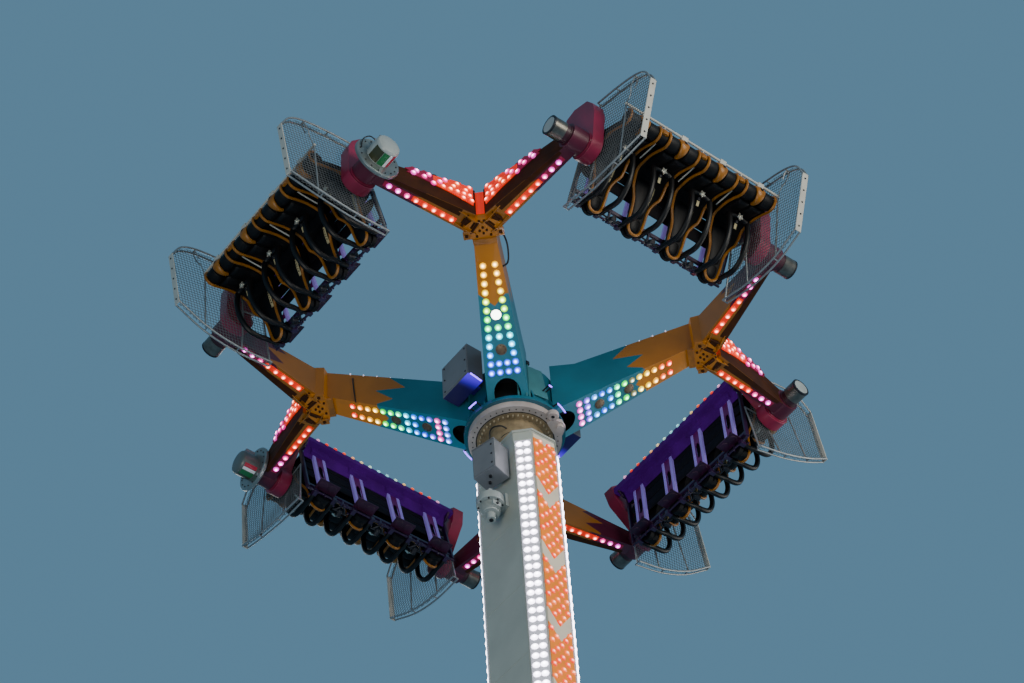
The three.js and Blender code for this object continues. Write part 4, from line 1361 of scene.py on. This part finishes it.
def frame_rails(body, matrix):
    """Two capped rails behind each seat, and the holed plate between them."""
    rails, plates, ends = shapes(3)
    for t in SEATS:
        ends.block((0.5, -0.615, t - 0.18), (0.516, -0.42, t + 0.18))
        for side in (-1, 1):
            z = t + side * 0.0875
            rails.block((-0.48, -0.47, z - 0.027), (0.514, -0.42, z + 0.027))
            z = t + side * 0.085
            ends.turned([(0, 0.07), (0.008, 0.066), (0.01, 0.045)], (0.515, -0.52, z), (1, -0.52, z), 20)
        plates.join(holed_plate(t))
    row_pieces(body, matrix, [
        ("rails", rails, "lilac_enamel", "rail_white", 0.006),
        ("rail_ends", ends, "plum_enamel", "gondola_purple", 0.004),
        ("plates", plates, "plum_plate", "gondola_purple", 0)])


def frame_cover(body, matrix):
    """Cover pads, the ribbed cross bar, and the end boards."""
    cross, cover = shapes(2)
    cross.block((0.425, -0.424, -END_BOARD), (0.475, -0.376, END_BOARD))
    for side in (-1, 1):
        cross.prism(BOARD_SHAPE, *span(side, END_BOARD, END_BOARD + 0.034))
    for z in [SEAT_PITCH * k for k in (-1.5, -1, 0, 1, 1.5)]:
        cross.prism(RIB_SHAPE, z - 0.012, z + 0.012)
    for k in range(3):
        low = -0.465 + 0.215 * k
        cover.join(pad((low + 0.001, -0.42, -END_BOARD + 0.002), (low + 0.215, -0.376, END_BOARD - 0.002),
            0.012, 6))
    made = row_pieces(body, matrix, [
        ("cover", cover, "folded_cover", "seat_black", 0),
        ("cross_bars", cross, "deep_purple", "gondola_purple", 0.004)])
    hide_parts(f"{body}_frame")


def beam_lamps(body, matrix):
    lamps = Spots()
    aim = matrix.to_3x3() @ Vector((-1, -1, 0)).normalized()
    for i, colour in enumerate(BEAM_TINTS):
        lamps.put(matrix @ Vector((-0.632, -0.622, (i - 7) * BEAM_LAMP_PITCH)), aim, colour)
    radius = 0.034
    grown(f"{body}_beam_lamps", "lamps", "lamp_lens", body, lamps, Radius=radius, Rise=0.02)


def build_frame(name):
    for part in (frame_beam, frame_rails, frame_cover, beam_lamps):
        part(f"gondola_{name}", gondola_matrix(name))


# The plate between two rails: its two faces, and its oval holes as middle and half length.
PLATE_FACES = (-0.462, -0.45)
PLATE_HOLES = ((0.0, 0.17), (0.34, 0.1))
PLATE_HOLE_SIDES = 12


def holed_plate(t):
    """The plate between two rails, with two upright oval holes."""
    shape = Shape()
    edges = [-0.44] + [c + s * r for c, r in PLATE_HOLES for s in (-1, 1)] + [0.48]
    for n in PLATE_FACES:
        shape.points += [Vector((h, n, z)) for h in edges for z in (t - 0.07, t + 0.07)]
    count = len(edges) * 2
    for a in (0, 4, 8):
        for base in (0, count):
            shape.faces.append([base + a, base + a + 1, base + a + 3, base + a + 2])
    for (centre, half), first in zip(PLATE_HOLES, (2, 6)):
        for base, n in zip((0, count), PLATE_FACES):
            ring = len(shape.points)
            for angle in turns(PLATE_HOLE_SIDES):
                h, z = centre + half * cos(angle), t + 0.048 * sin(angle)
                shape.points.append(Vector((h, n, z)))
            shape.faces += fan(ring, PLATE_HOLE_SIDES, [base + first + k for k in range(4)])
    return shape


def fan(ring, steps, corners):
    """Faces from the four corners of a rectangle to an oval inside it."""
    low_low, low_high, high_low, high_high = corners
    quarter = steps // 4
    faces = []
    order = [high_high, low_high, low_low, high_low]
    for k, corner in enumerate(order):
        for i in range(quarter):
            a = ring + (k * quarter + i) % steps
            b = ring + (k * quarter + i + 1) % steps
            faces.append([corner, a, b])
        after = order[(k + 1) % 4]
        faces.append([corner, ring + ((k + 1) * quarter) % steps, after])
    return faces


# A seat's rim from head rest to knee: head and front directions, and half width. With each point
# go the bed of the seat between the rims and the shell's outer face behind it.
SEAT_SECTIONS = [((0.70, -0.22, 0.045), (0.70, -0.232), (0.70, -0.33)),
    ((0.665, -0.22, 0.086), (0.665, -0.245), (0.67, -0.345)), ((0.60, -0.22, 0.112), (0.60, -0.25),
    (0.60, -0.35)), ((0.45, -0.22, 0.127), (0.45, -0.25), (0.45, -0.35)),
    ((0.32, -0.215, 0.13), (0.32, -0.25), (0.32, -0.352)), ((0.20, -0.20, 0.15), (0.20, -0.25),
    (0.20, -0.355)), ((0.10, -0.175, 0.195), (0.10, -0.25), (0.10, -0.36)),
    ((0.03, -0.15, 0.235), (0.03, -0.25), (0.02, -0.365)), ((-0.10, -0.135, 0.255), (-0.10, -0.25),
    (-0.12, -0.37)), ((-0.22, -0.11, 0.262), (-0.25, -0.225), (-0.36, -0.36)),
    ((-0.29, 0.0, 0.262), (-0.325, -0.08), (-0.425, -0.24)), ((-0.34, 0.15, 0.262), (-0.34, 0.12),
    (-0.44, 0.06)), ((-0.35, 0.30, 0.262), (-0.345, 0.29), (-0.44, 0.28)),
    ((-0.35, 0.38, 0.255), (-0.355, 0.36), (-0.43, 0.36)),]
KNEE = (-0.47, 0.44)
KNEE_RADIUS = 0.125
# The rim's way back round the knee: head and front directions, and distance from the seat's middle.
KNEE_LIP = [(-0.595, 0.43, 0.24), (-0.602, 0.42, 0.2), (-0.592, 0.43, 0.12), (-0.56, 0.5, 0.085)]


def rim_line(t, side):
    """The rim of one side of a seat, from the top of the head rest to the inside of the knee."""
    points = [(0.712, -0.22, t)]
    points += [(h, n, t + side * half) for (h, n, half), _, _ in SEAT_SECTIONS[:-1]]
    points += [(h, n, t + side * 0.262) for h, n in arc(KNEE, KNEE_RADIUS, 0, 170, 6)]
    points += [(h, n, t + side * half) for h, n, half in KNEE_LIP]
    return smooth_path(points, 3)


def seat_shell(t):
    """The shallow bucket between the two rims, closed round its back."""
    rings = []
    for (h, n, half), (bed_h, bed_n), (back_h, back_n) in SEAT_SECTIONS:
        ring = []
        for k in range(9):
            u = k / 4 - 1
            share = 1 - abs(u) ** 3
            ring.append((h + (bed_h - h) * share, n + (bed_n - n) * share, t + u * half))
        for k in range(7):
            u = 1 - k / 3
            edge = abs(u) ** 4 * 0.35
            ring.append((back_h + (h - back_h) * edge, back_n + (n - back_n) * edge, t + u * half * 0.97))
        rings.append(ring)
    return Shape().loft(rings)


def crowned(stations, out, deep):
    """A stuffed pad over a row of (middle, half width), swollen along its middle."""
    rings = []
    last = len(stations) - 1
    for i, (middle, half) in enumerate(stations):
        end = 0.35 if i in (0, last) else 1.0
        ring = []
        for k in range(7):
            u = k / 3 - 1
            lift = (0.026 * (1 - u * u) + 0.006) * end - 0.012 * (1 - end)
            ring.append(Vector(middle) + Vector(out) * lift + Vector(
                (0, 0, u * half * (0.93 if end < 1 else 1))))
        for u in (0.9, 0.3, -0.3, -0.9):
            ring.append(Vector(middle) - Vector(out) * deep + Vector((0, 0, u * half)))
        rings.append(ring)
    return Shape().loft(rings)


def pad(low, high, crown, cuts=4):
    """A box whose faces swell towards their middles."""
    shape = Shape()
    steps = cuts + 1
    centre = [(a + b) / 2 for a, b in zip(low, high)]
    half = [(b - a) / 2 for a, b in zip(low, high)]
    index = {}

    def corner(i, j, k):
        key = (i, j, k)
        if key not in index:
            u = [2 * v / steps - 1 for v in key]
            bulge = [(1 - u[(d + 1) % 3] ** 2) * (1 - u[(d + 2) % 3] ** 2) for d in range(3)]
            place = []
            for d in range(3):
                edge = 1 - 0.06 * (u[(d + 1) % 3] ** 4 + u[(d + 2) % 3] ** 4)
                place.append(centre[d] + u[d] * (half[d] - crown) * edge + u[d] * crown * bulge[d])
            index[key] = len(shape.points)
            shape.points.append(Vector(place))
        return index[key]

    for axis in range(3):
        for end in (0, steps):
            for a in range(steps):
                for b in range(steps):
                    face = []
                    for da, db in ((0, 0), (1, 0), (1, 1), (0, 1)):
                        key = [0, 0, 0]
                        key[axis] = end
                        key[(axis + 1) % 3] = a + da
                        key[(axis + 2) % 3] = b + db
                        face.append(corner(*key))
                    shape.faces.append(face)
    return shape


# Pads of a seat, as head and front directions, and half width where it changes.
HEAD_PAD = [(0.66, -0.243, 0.06), (0.62, -0.247, 0.088), (0.53, -0.248, 0.1), (0.46, -0.248, 0.1),
            (0.44, -0.247, 0.096)]
BACK_PAD = [(0.425, -0.248, 0.1), (0.40, -0.248, 0.106), (0.3, -0.248, 0.108), (0.18, -0.246, 0.125),
            (0.06, -0.24, 0.17), (-0.06, -0.235, 0.2), (-0.16, -0.232, 0.205), (-0.2, -0.23, 0.2)]
THIGH_PAD = [(-0.31, -0.13), (-0.32, -0.09), (-0.33, 0.04), (-0.336, 0.2), (-0.338, 0.34), (-0.34, 0.37)]
# Profile of a round knee form, from the seat's middle outwards.
KNEE_FORM = [(0.078, 0.07), (0.08, 0.11), (0.12, 0.119), (0.2, 0.119), (0.245, 0.112), (0.25, 0.07)]
ALONG = (0, 0, 1)


def seat_pads(t):
    """Head pad, back pad and two thigh pads of a seat."""
    pads = Shape()
    for stations in (HEAD_PAD, BACK_PAD):
        pads.join(crowned([((h, n, t), half) for h, n, half in stations], (0, 1, 0), 0.03))
    for side in (-1, 1):
        pads.join(crowned([((h, n, t + side * 0.108), 0.1) for h, n in THIGH_PAD], (1, 0, 0), 0.03))
    return pads


def seat_humps():
    """A long hump between the knees of each seat and a short one between seats."""
    humps = Shape()
    for t in SEATS:
        over = [(*p, t) for p in arc(KNEE, 0.114, -35, 205, 12)]
        humps.swept(over, [min(0.02 + 0.0085 * k, 0.09) for k in range(len(over))], 0.03, 14, ALONG)
        if t != SEATS[-1]:
            over = [(*p, t + SEAT_PITCH / 2) for p in arc(KNEE, 0.112, 95, 205, 6)]
            humps.swept(over, [0.05 + 0.008 * k for k in range(len(over))], 0.028, 14, ALONG)
    return humps


def build_seats(name):
    """Moulded shells, black pads, knee forms, amber rims and humps, and their carrier."""
    body = f"gondola_{name}"
    matrix = gondola_matrix(name)
    shells, rims, pads, knees, seams = shapes(5)
    for t in SEATS:
        shells.join(seat_shell(t)).join(head_shell(t))
        pads.join(seat_pads(t))
        for side in (-1, 1):
            rims.swept(rim_line(t, side), 0.021, sides=8)
            knees.turned(KNEE_FORM, (*KNEE, t), (*KNEE, t + side), 28)
            seams.swept([(h, n, t + side * 0.004) for h, n in ((-0.33, -0.1), (-0.338, 0.2),
                (-0.345, 0.36))], 0.004, sides=6)
        seams.swept([(*p, t) for p in arc(KNEE, 0.144, 110, 190, 6)] + [(-0.63, 0.47, t)], 0.02, 0.005, 8,
            ALONG)
    shells.block((-0.445, -0.36, -END_BOARD), (-0.43, 0.37, END_BOARD))
    shells.rod((*KNEE, -END_BOARD), (*KNEE, END_BOARD), 0.095, 20)
    shells.slab([(-0.43, 0.3, -END_BOARD), (-0.43, 0.3, END_BOARD), (-0.385, 0.4, END_BOARD),
        (-0.385, 0.4, -END_BOARD)], (-1, 0, 0), 0.02)
    made = row_pieces(body, matrix, [
        ("seat_shells", shells, "moulded_shell", "seat_black", 0),
        ("seat_rims", rims, "amber_vinyl", "star_amber", 0),
        ("knee_forms", knees, "black_vinyl", "seat_black", 0.01),
        ("seat_humps", seat_humps(), "amber_vinyl", "star_amber", 0.016),
        ("seat_straps", seams, "dipped_rubber", "seat_black", 0),
        ("seat_pads", pads, "black_vinyl", "seat_black", 0)])
    softened = made.modifiers.new("soft_form", "SUBSURF")
    softened.levels = 1
    softened.render_levels = 1
    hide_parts(f"{body}_seats")
    seat_belts(body, matrix)


def head_shell(t):
    """Rounded shell behind a head pad."""
    outline = [(0.44, t - 0.13)] + [(h, z) for z, h in arc((t, 0.585), 0.12, 180, 0, 12)] + [(0.44, t + 0.13)]
    return Shape().loft([[(h, n, z) for h, z in outline] for n in (-0.4, -0.335)])


# Way of a restraint bar from hinge to buckle, in the head and front directions.
BAR_PATH = [(0.6, -0.429), (0.62, -0.3), (0.588, -0.15), (0.575, 0.0), (0.53, 0.11), (0.42, 0.19),
    (0.25, 0.235), (0.05, 0.22), (-0.13, 0.16), (-0.205, 0.128)]
BAR_SIDE = 0.165


def star_outline(centre, inner, outer, points):
    """A blunt star in the head and along directions."""
    corners = []
    for k in range(2 * points):
        radius = inner if k % 2 else outer
        angle = pi * k / points
        corners.append((centre[0] + radius * cos(angle), centre[1] + radius * sin(angle)))
    return corners


def restraint(t, bars, hinges, knobs):
    """The two shoulder bars of one seat with their hinges, the bar across the lap and its knob."""
    for side in (-1, 1):
        z = t + side * BAR_SIDE
        path = smooth_path([(h, n, z) for h, n in BAR_PATH], 4)
        bars.swept(path, [min(0.029 + 0.0012 * i, 0.041) for i in range(len(path))], sides=10)
        hinges.block((SHAFT[0] - 0.035, SHAFT[1] - 0.03, z - 0.034),
            (SHAFT[0] + 0.045, SHAFT[1] + 0.07, z + 0.034))
        hinges.rod((0.6, -0.33, z - side * 0.03), (0.6, -0.33, z + side * 0.07), 0.016, 10)
    cross = [(-0.19, 0.135, -BAR_SIDE), (-0.215, 0.13, -0.1), (-0.222, 0.13, 0), (-0.215, 0.13, 0.1),
        (-0.19, 0.135, BAR_SIDE)]
    bars.swept(smooth_path([(h, n, t + z) for h, n, z in cross], 3), 0.036, sides=10)
    knobs.rod((-0.18, 0.1, t), (-0.13, 0.1, t), 0.03, 12)


def hinge_cluster(z, hinges, knobs):
    """Spring pot, two hoses and two lugs on the shaft between neighbouring seats."""
    knobs.turned([(0, 0.03), (0.01, 0.042), (0.11, 0.042), (0.12, 0.03)], (0.61, -0.34, z), (0.64, -0.2, z),
        16)
    for side in (-1, 1):
        hose = [(0.6, -0.42, z), (0.625, -0.36, z + side * 0.05), (0.62, -0.3, z + side * 0.09)]
        knobs.swept(smooth_path(hose, 4), 0.016, sides=8)
        low, high = sorted((z + side * 0.03, z + side * 0.06))
        hinges.block((0.585, -0.45, low), (0.625, -0.4, high))
    knobs.rod((0.625, -0.3, z - 0.13), (0.625, -0.3, z + 0.13), 0.014, 8)


def build_harness(name):
    """Over-shoulder bars on one shaft, with hinge clusters, belts and buckles."""
    body = f"harness_{name}"
    matrix = gondola_matrix(name)
    bars, hinges, belts, buckles, knobs = shapes(5)
    hinges.rod((*SHAFT, -END_BOARD - 0.03), (*SHAFT, END_BOARD + 0.03), 0.0195, 12)
    for t in SEATS:
        restraint(t, bars, hinges, knobs)
        buckles.join(Shape().prism(star_outline((-0.215, t), 0.03, 0.056, 5), 0.16, 0.186), FLIPPED)
        buckles.rod((-0.215, 0.186, t), (-0.215, 0.2, t), 0.02, 12)
        belts.block((-0.17, 0.1, t - 0.022), (-0.04, 0.106, t + 0.022))
    for z in (-SEAT_PITCH, 0.0, SEAT_PITCH):
        hinge_cluster(z, hinges, knobs)
    # The hinges are black; their deep purple is a painted violet sheen.
    made = row_pieces(body, matrix, [
        ("bars", bars, "dipped_rubber", "restraint_black", 0),
        ("hinges", hinges, "deep_purple", "restraint_black", 0.004)])
    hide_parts(f"gondola_{name}_harness")
    row_pieces(body, matrix, [
        ("knobs", knobs, "dark_steel", "restraint_black", 0.003),
        ("belts", belts, "cream_webbing", "seat_black", 0.001),
        ("buckles", buckles, "chrome", "galvanised", 0.003)])


def seat_belts(body, matrix):
    """A cream belt with eyelets on each seat's back pad."""
    belts, eyelets = shapes(2)
    for t in SEATS:
        z = t - 0.11
        line = [(0.16, -0.215, z + 0.02), (0.08, -0.2, z + 0.01), (-0.02, -0.192, z),
            (-0.12, -0.195, z - 0.01)]
        belts.swept(smooth_path(line, 4), 0.026, 0.006, 8, ALONG)
        for h in [0.1 - 0.045 * k for k in range(5)]:
            eyelets.rod((h, -0.2, z + 0.004), (h, -0.183, z + 0.004), 0.008, 8)
    row_pieces(body, matrix, [
        ("belts", belts, "cream_webbing", "seat_black", 0),
        ("eyelets", eyelets, "dark_steel", "galvanised", 0)])


# Rims of an end guard: head and front directions, and how far each point flares out along the row.
FENCE_HEAD = [(0.152, 1.173, 0.0), (0.47, 0.727, 0.05), (0.704, 0.226, 0.06), (0.84, -0.3, 0.05)]
FENCE_FOOT = [(-0.816, 1.032, 0.0), (-1.01, 0.83, 0.0), (-1.06, 0.56, 0.0), (-1.0, 0.15, 0.0),
    (-0.9, -0.245, 0.0)]


def fence_outline():
    """Closed outline of a guard's wire mesh, with how far each point flares out."""
    head = smooth_path(FENCE_HEAD, 4)
    foot = smooth_path(FENCE_FOOT, 4)
    return foot[::-1] + head + [Vector((0.1, -0.38, 0.0)), Vector((-0.06, -0.3, 0.0)),
        Vector((-0.56, -0.15, 0.0))]


def flare(h):
    """How far the mesh bulges out from its plane, towards its head end."""
    share = max(0.0, min(1.0, (h - 0.05) / 0.6))
    return 0.055 * share * share * (3 - 2 * share)


def mesh_lines(pitch):
    """Wire lines at two slants, clipped to the outline, as pairs of ends."""
    outline = [(p.x, p.y) for p in fence_outline()]
    lines = []
    for slant in (4, 94):
        direction = Vector((cos(radians(slant)), sin(radians(slant))))
        normal = Vector((-direction.y, direction.x))
        offsets = [normal.dot(Vector(p)) for p in outline]
        level = ceil(min(offsets) / pitch) * pitch
        while level < max(offsets):
            hits = []
            for i, start in enumerate(outline):
                end = outline[(i + 1) % len(outline)]
                a, b = normal.dot(Vector(start)) - level, normal.dot(Vector(end)) - level
                if (a < 0) != (b < 0):
                    spot = Vector(start).lerp(Vector(end), a / (a - b))
                    hits.append(direction.dot(spot))
            hits.sort()
            for low, high in zip(hits[::2], hits[1::2]):
                pieces = max(1, round((high - low) / 0.3))
                row = [normal * level + direction * (low + (high - low) * k / pieces)
                    for k in range(pieces + 1)]
                lines.append(row)
            level += pitch
    return lines


# The flat bar that joins a guard's two rims at the front: its ends, and where its holes lie along it.
FRONT_BAR = (Vector((-0.816, 1.032)), Vector((0.152, 1.173)))
FRONT_HOLES = (0.07, 0.285, 0.5, 0.715, 0.93)
# Outline of a pad on the leg bar, in the head and front directions.
LEG_PAD = [(-0.675, 0.452), (-0.655, 0.44), (-0.6, 0.44), (-0.59, 0.46), (-0.6, 0.505), (-0.66, 0.51),
           (-0.675, 0.5)]


def guard_tubes(side):
    """Two tube rims of an end guard, the pins between them, its struts and the link to the leg bar."""
    tubes = Shape()
    z = side * FENCE_T
    for depth in (-0.045, 0.045):
        for line in (FENCE_FOOT, FENCE_HEAD):
            rim = [(h, n, z + side * (depth + out)) for h, n, out in smooth_path(line, 5)]
            tubes.swept(rim[::-1] if line is FENCE_FOOT else rim, 0.015, sides=8)
    for h, n, out in FENCE_HEAD[1:] + FENCE_FOOT[2:]:
        tubes.rod((h, n, z + side * (out - 0.045)), (h, n, z + side * (out + 0.045)), 0.011, 8)
    for start, end, out, radius in (((0.84, -0.298), (-0.06, -0.4), (0.05, 0), 0.014),
            ((-0.905, -0.25), (0.23, 0.04), (0, 0), 0.014), ((0.23, 0.04), (0.65, 0.15), (0, 0.05), 0.014),
            ((-0.06, -0.405), (-0.06, -0.01), (0, 0), 0.013), (LEG_BAR, (0.43, 0.745), (0, 0.02), 0.012)):
        tubes.rod((*start, z + side * out[0]), (*end, z + side * out[1]), radius, 8)
    link = [(*LEG_BAR, 0), (-0.8, 0.51, 0), (-0.88, 0.53, 0.03), (-1.02, 0.56, 0.035), (-1.035, 0.56, 0),
            (-1.02, 0.56, -0.03), (-0.9, 0.535, -0.03)]
    return tubes.swept(smooth_path([(h, n, z + side * out) for h, n, out in link], 4), 0.01, sides=8)


def front_bar(side):
    start, end = FRONT_BAR
    along = (end - start).normalized()
    out = Vector((-along.y, along.x))
    low, high = start - along * 0.02, end + along * 0.02
    outline = [low - out * 0.008, high - out * 0.008, high + out * 0.008, low + out * 0.008]
    return Shape().prism([(p.x, p.y) for p in outline], *span(side, FENCE_T - 0.05, FENCE_T + 0.05))


def front_holes(side):
    holes = Shape()
    out = Vector((-0.144, 0.99, 0.0))
    for share in FRONT_HOLES:
        spot = FRONT_BAR[0].lerp(FRONT_BAR[1], share).to_3d() + out * 0.008
        spot.z = side * FENCE_T
        holes.rod(spot, spot + out * 0.007, 0.014, 10)
    return holes


def guard_mesh(body, matrix):
    sizes = bpy.context.scene.ride_sizes
    seed, edges = Spots(), []
    for side in (-1, 1):
        for line in mesh_lines(round(sizes.mesh_pitch, 5)):
            first = len(seed.points)
            seed.points += [matrix @ Vector((p.x, p.y, side * (FENCE_T + flare(p.x)))) for p in line]
            edges += [(first + k, first + k + 1) for k in range(len(line) - 1)]
    grown(f"{body}_guard_mesh", "wires", "wire_zinc", body, seed, edges, "galvanised", Radius=sizes.mesh_wire)


def leg_bar(body, matrix):
    """The bar across the riders' legs with its pads and stays, and the dark bar behind it."""
    bar, shadow = shapes(2)
    reach = FENCE_T + 0.02
    bar.rod((*LEG_BAR, -reach), (*LEG_BAR, reach), 0.019, 12)
    behind = (LEG_BAR[0] + 0.045, LEG_BAR[1] - 0.03)
    shadow.rod((*behind, -1.34), (*behind, 1.34), 0.012, 10)
    for z in (-SEAT_PITCH, 0, SEAT_PITCH):
        stay = [(*LEG_BAR, z), (-0.56, 0.5, z), (-0.49, 0.495, z), (-0.38, 0.27, z), (-0.29, 0.02, z)]
        bar.swept(smooth_path(stay, 3), 0.012, sides=8)
    for t in SEATS:
        bar.prism(LEG_PAD, t - 0.05, t + 0.05)
        shadow.block((-0.61, 0.455, t - 0.02), (-0.56, 0.5, t + 0.02))
    made = piece(f"{body}_leg_bar", bar, "white_tube", body, matrix, 0.003)
    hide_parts(f"{body}_guard")
    piece(f"{body}_leg_bar_shadow", shadow, "dark_steel", body, matrix, 0.002)


def build_guard(name):
    """End guards of rims, front bars, mesh and struts, and the leg bar between them."""
    body = f"gondola_{name}"
    matrix = gondola_matrix(name)
    tubes, bars, holes = shapes(3)
    for side in (-1, 1):
        tubes.join(guard_tubes(side))
        bars.join(front_bar(side))
        holes.join(front_holes(side))
    row_pieces(body, matrix, [
        ("guard_tubes", tubes, "zinc", "galvanised", 0),
        ("guard_bars", bars, "white_tube", "galvanised", 0.003),
        ("guard_holes", holes, "dark_steel", "galvanised", 0)])
    guard_mesh(body, matrix)
    leg_bar(body, matrix)


# Stage.


# Lights: name, place, size in metres and power in watts.
LIGHTS = (("key_light", (1, -21, 9), 9, 2700), ("fill_light", (16, -6, 8), 12, 1500),
          ("under_light", (-15, -9, -5), 9, 1700), ("rim_light", (6, 16, 20), 10, 700))
LIGHT_TINT = (1.0, 0.93, 0.82)
LIGHT_TARGET = Vector((0, 0, 9))


def build_floor():
    floor = Shape().turned([(0, 2.3), (0.05, 2.36), (0.1, 2.36)], (0, 0, -0.102), (0, 0, 0.9), 96)
    made = mesh_object("studio_floor", floor)
    made.data.materials.append(FINISHES["studio_floor"])


def build_backdrop():
    """Plain blue light from all round, as of an evening sky."""
    world = bpy.data.worlds.new("studio_backdrop")
    bpy.context.scene.world = world
    world.use_nodes = True
    world.node_tree.nodes.clear()
    back = add_node(world.node_tree, "ShaderNodeBackground", {"Color": linear("#70a0c0"), "Strength": 0.62})
    add_node(world.node_tree, "ShaderNodeOutputWorld", {"Surface": back.outputs["Background"]})


def build_lights():
    for name, place, size, power in LIGHTS:
        light = bpy.data.lights.new(name, "AREA")
        light.size = size
        light.energy = power
        light.color = LIGHT_TINT
        made = linked(name, light)
        made.location = place
        made.rotation_euler = (LIGHT_TARGET - Vector(place)).to_track_quat("-Z", "Y").to_euler()


def build_camera():
    camera = bpy.data.cameras.new("photo_camera")
    camera.sensor_width = 36
    camera.lens = CAMERA_LENS
    camera.clip_end = 300
    made = linked("photo_camera", camera)
    right, up = Vector(CAMERA_RIGHT), Vector(CAMERA_UP)
    axes = Matrix((right, up, right.cross(up))).transposed().to_4x4()
    made.matrix_world = Matrix.Translation(CAMERA_PLACE) @ axes
    bpy.context.scene.camera = made


# Settings, operators and panel.


PAINT = {"size": 4, "min": 0.0, "max": 1.0, "subtype": "COLOR"}
LENGTH = {"min": 0.001, "unit": "LENGTH"}


class RidePaintSettings(bpy.types.PropertyGroup):
    """Colours of the ride's main enamels and of its seat rims."""

    mast: FloatVectorProperty(
        name="Mast", description="Enamel of the mast", default=linear("#a9aca2"), **PAINT)
    chevrons: FloatVectorProperty(
        name="Chevrons", description="Stripes on the mast", default=linear("#e87c00"), **PAINT)
    arm_roots: FloatVectorProperty(
        name="Arm roots", description="Enamel near the hub", default=linear("#206476"), **PAINT)
    arm_tips: FloatVectorProperty(
        name="Arm tips", description="Enamel where arms fork", default=linear("#a26200"), **PAINT)
    seat_rims: FloatVectorProperty(
        name="Seat rims", description="Vinyl of the rims", default=linear("#925a00"), **PAINT)


class RideSizeSettings(bpy.types.PropertyGroup):
    """Sizes of the lamps and of the guards' wire mesh."""

    mast_pitch: FloatProperty(
        name="Mast lamp pitch", description="Distance between lamp rows", default=0.162, **LENGTH)
    arm_lamp: FloatProperty(
        name="Arm lamps", description="Radius of a lamp under an arm", default=0.052, **LENGTH)
    mesh_pitch: FloatProperty(
        name="Mesh pitch", description="Distance between wires", default=0.05, **LENGTH)
    # The real wire is about 3 mm thick; it is drawn at 9 mm, so that the mesh still shows from afar.
    mesh_wire: FloatProperty(
        name="Mesh wire", description="Radius of a wire", default=0.0045, **LENGTH)


class RIDE_OT_stage(bpy.types.Operator):
    """Camera, floor, backdrop and lights."""

    bl_idname = "ride.stage"
    bl_label = "Stage"

    def execute(self, context):
        build_floor()
        build_backdrop()
        build_lights()
        build_camera()
        return {"FINISHED"}


class RIDE_OT_mast(bpy.types.Operator):
    """Mast, foot, rails, panels, junction box and gear motor."""

    bl_idname = "ride.mast"
    bl_label = "Mast"

    def execute(self, context):
        build_mast()
        build_junction_box()
        build_gear_motor()
        return {"FINISHED"}


class RIDE_OT_hub(bpy.types.Operator):
    """Slewing ring with its hoses, hub and cabinets."""

    bl_idname = "ride.hub"
    bl_label = "Hub"

    def execute(self, context):
        build_ring()
        mast_hoses()
        build_hub()
        build_cabinets()
        return {"FINISHED"}


class RIDE_OT_arms(bpy.types.Operator):
    """Arms with their discs and cables."""

    bl_idname = "ride.arms"
    bl_label = "Arms"

    def execute(self, context):
        build_arms()
        arm_cables()
        return {"FINISHED"}


class RIDE_OT_forks(bpy.types.Operator):
    """Fork branches, the nodes where they meet, stub tubes and drive motors."""

    bl_idname = "ride.forks"
    bl_label = "Forks"

    def execute(self, context):
        build_forks()
        build_nodes()
        build_fork_ends()
        return {"FINISHED"}


class RIDE_OT_lamps(bpy.types.Operator):
    """Lamps on the mast, the arms and the forks."""

    bl_idname = "ride.lamps"
    bl_label = "Lamps"

    def execute(self, context):
        mast_lamps()
        chevron_lamps()
        arm_lamps()
        arm_top_lamps()
        fork_lamps()
        return {"FINISHED"}


class RIDE_OT_frames(bpy.types.Operator):
    """Frames, end guards and leg bars of the seat rows."""

    bl_idname = "ride.frames"
    bl_label = "Frames"

    def execute(self, context):
        for name in GONDOLAS:
            build_frame(name)
            build_guard(name)
        return {"FINISHED"}


class RIDE_OT_seats(bpy.types.Operator):
    """Seats and over-shoulder restraints."""

    bl_idname = "ride.seats"
    bl_label = "Seats"

    def execute(self, context):
        for name in GONDOLAS:
            build_seats(name)
            build_harness(name)
        return {"FINISHED"}


class RIDE_PT_panel(bpy.types.Panel):
    """Lists the ride's settings and steps."""

    bl_idname = "RIDE_PT_panel"
    bl_label = "Arm Ride"
    bl_space_type = "VIEW_3D"
    bl_region_type = "UI"
    bl_category = "Ride"

    def draw(self, context):
        for settings in (context.scene.ride_sizes, context.scene.ride_paint):
            for name in settings.__annotations__:
                self.layout.prop(settings, name)
        for operator in OPERATORS:
            self.layout.operator(operator.bl_idname)


OPERATORS = (RIDE_OT_stage, RIDE_OT_mast, RIDE_OT_hub, RIDE_OT_arms, RIDE_OT_forks, RIDE_OT_lamps,
             RIDE_OT_frames, RIDE_OT_seats)
CLASSES = (RidePaintSettings, RideSizeSettings, *OPERATORS, RIDE_PT_panel)


def register():
    for item in CLASSES:
        bpy.utils.register_class(item)
    bpy.types.Scene.ride_paint = bpy.props.PointerProperty(type=RidePaintSettings)
    bpy.types.Scene.ride_sizes = bpy.props.PointerProperty(type=RideSizeSettings)


def unregister():
    del bpy.types.Scene.ride_sizes
    del bpy.types.Scene.ride_paint
    for item in reversed(CLASSES):
        bpy.utils.unregister_class(item)


def main():
    register()
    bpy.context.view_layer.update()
    make_finishes()
    make_trees()
    bpy.ops.ride.stage()
    bpy.ops.ride.mast()
    bpy.ops.ride.hub()
    bpy.ops.ride.arms()
    bpy.ops.ride.forks()
    bpy.ops.ride.lamps()
    bpy.ops.ride.frames()
    bpy.ops.ride.seats()


if __name__ == "__main__":
    main()
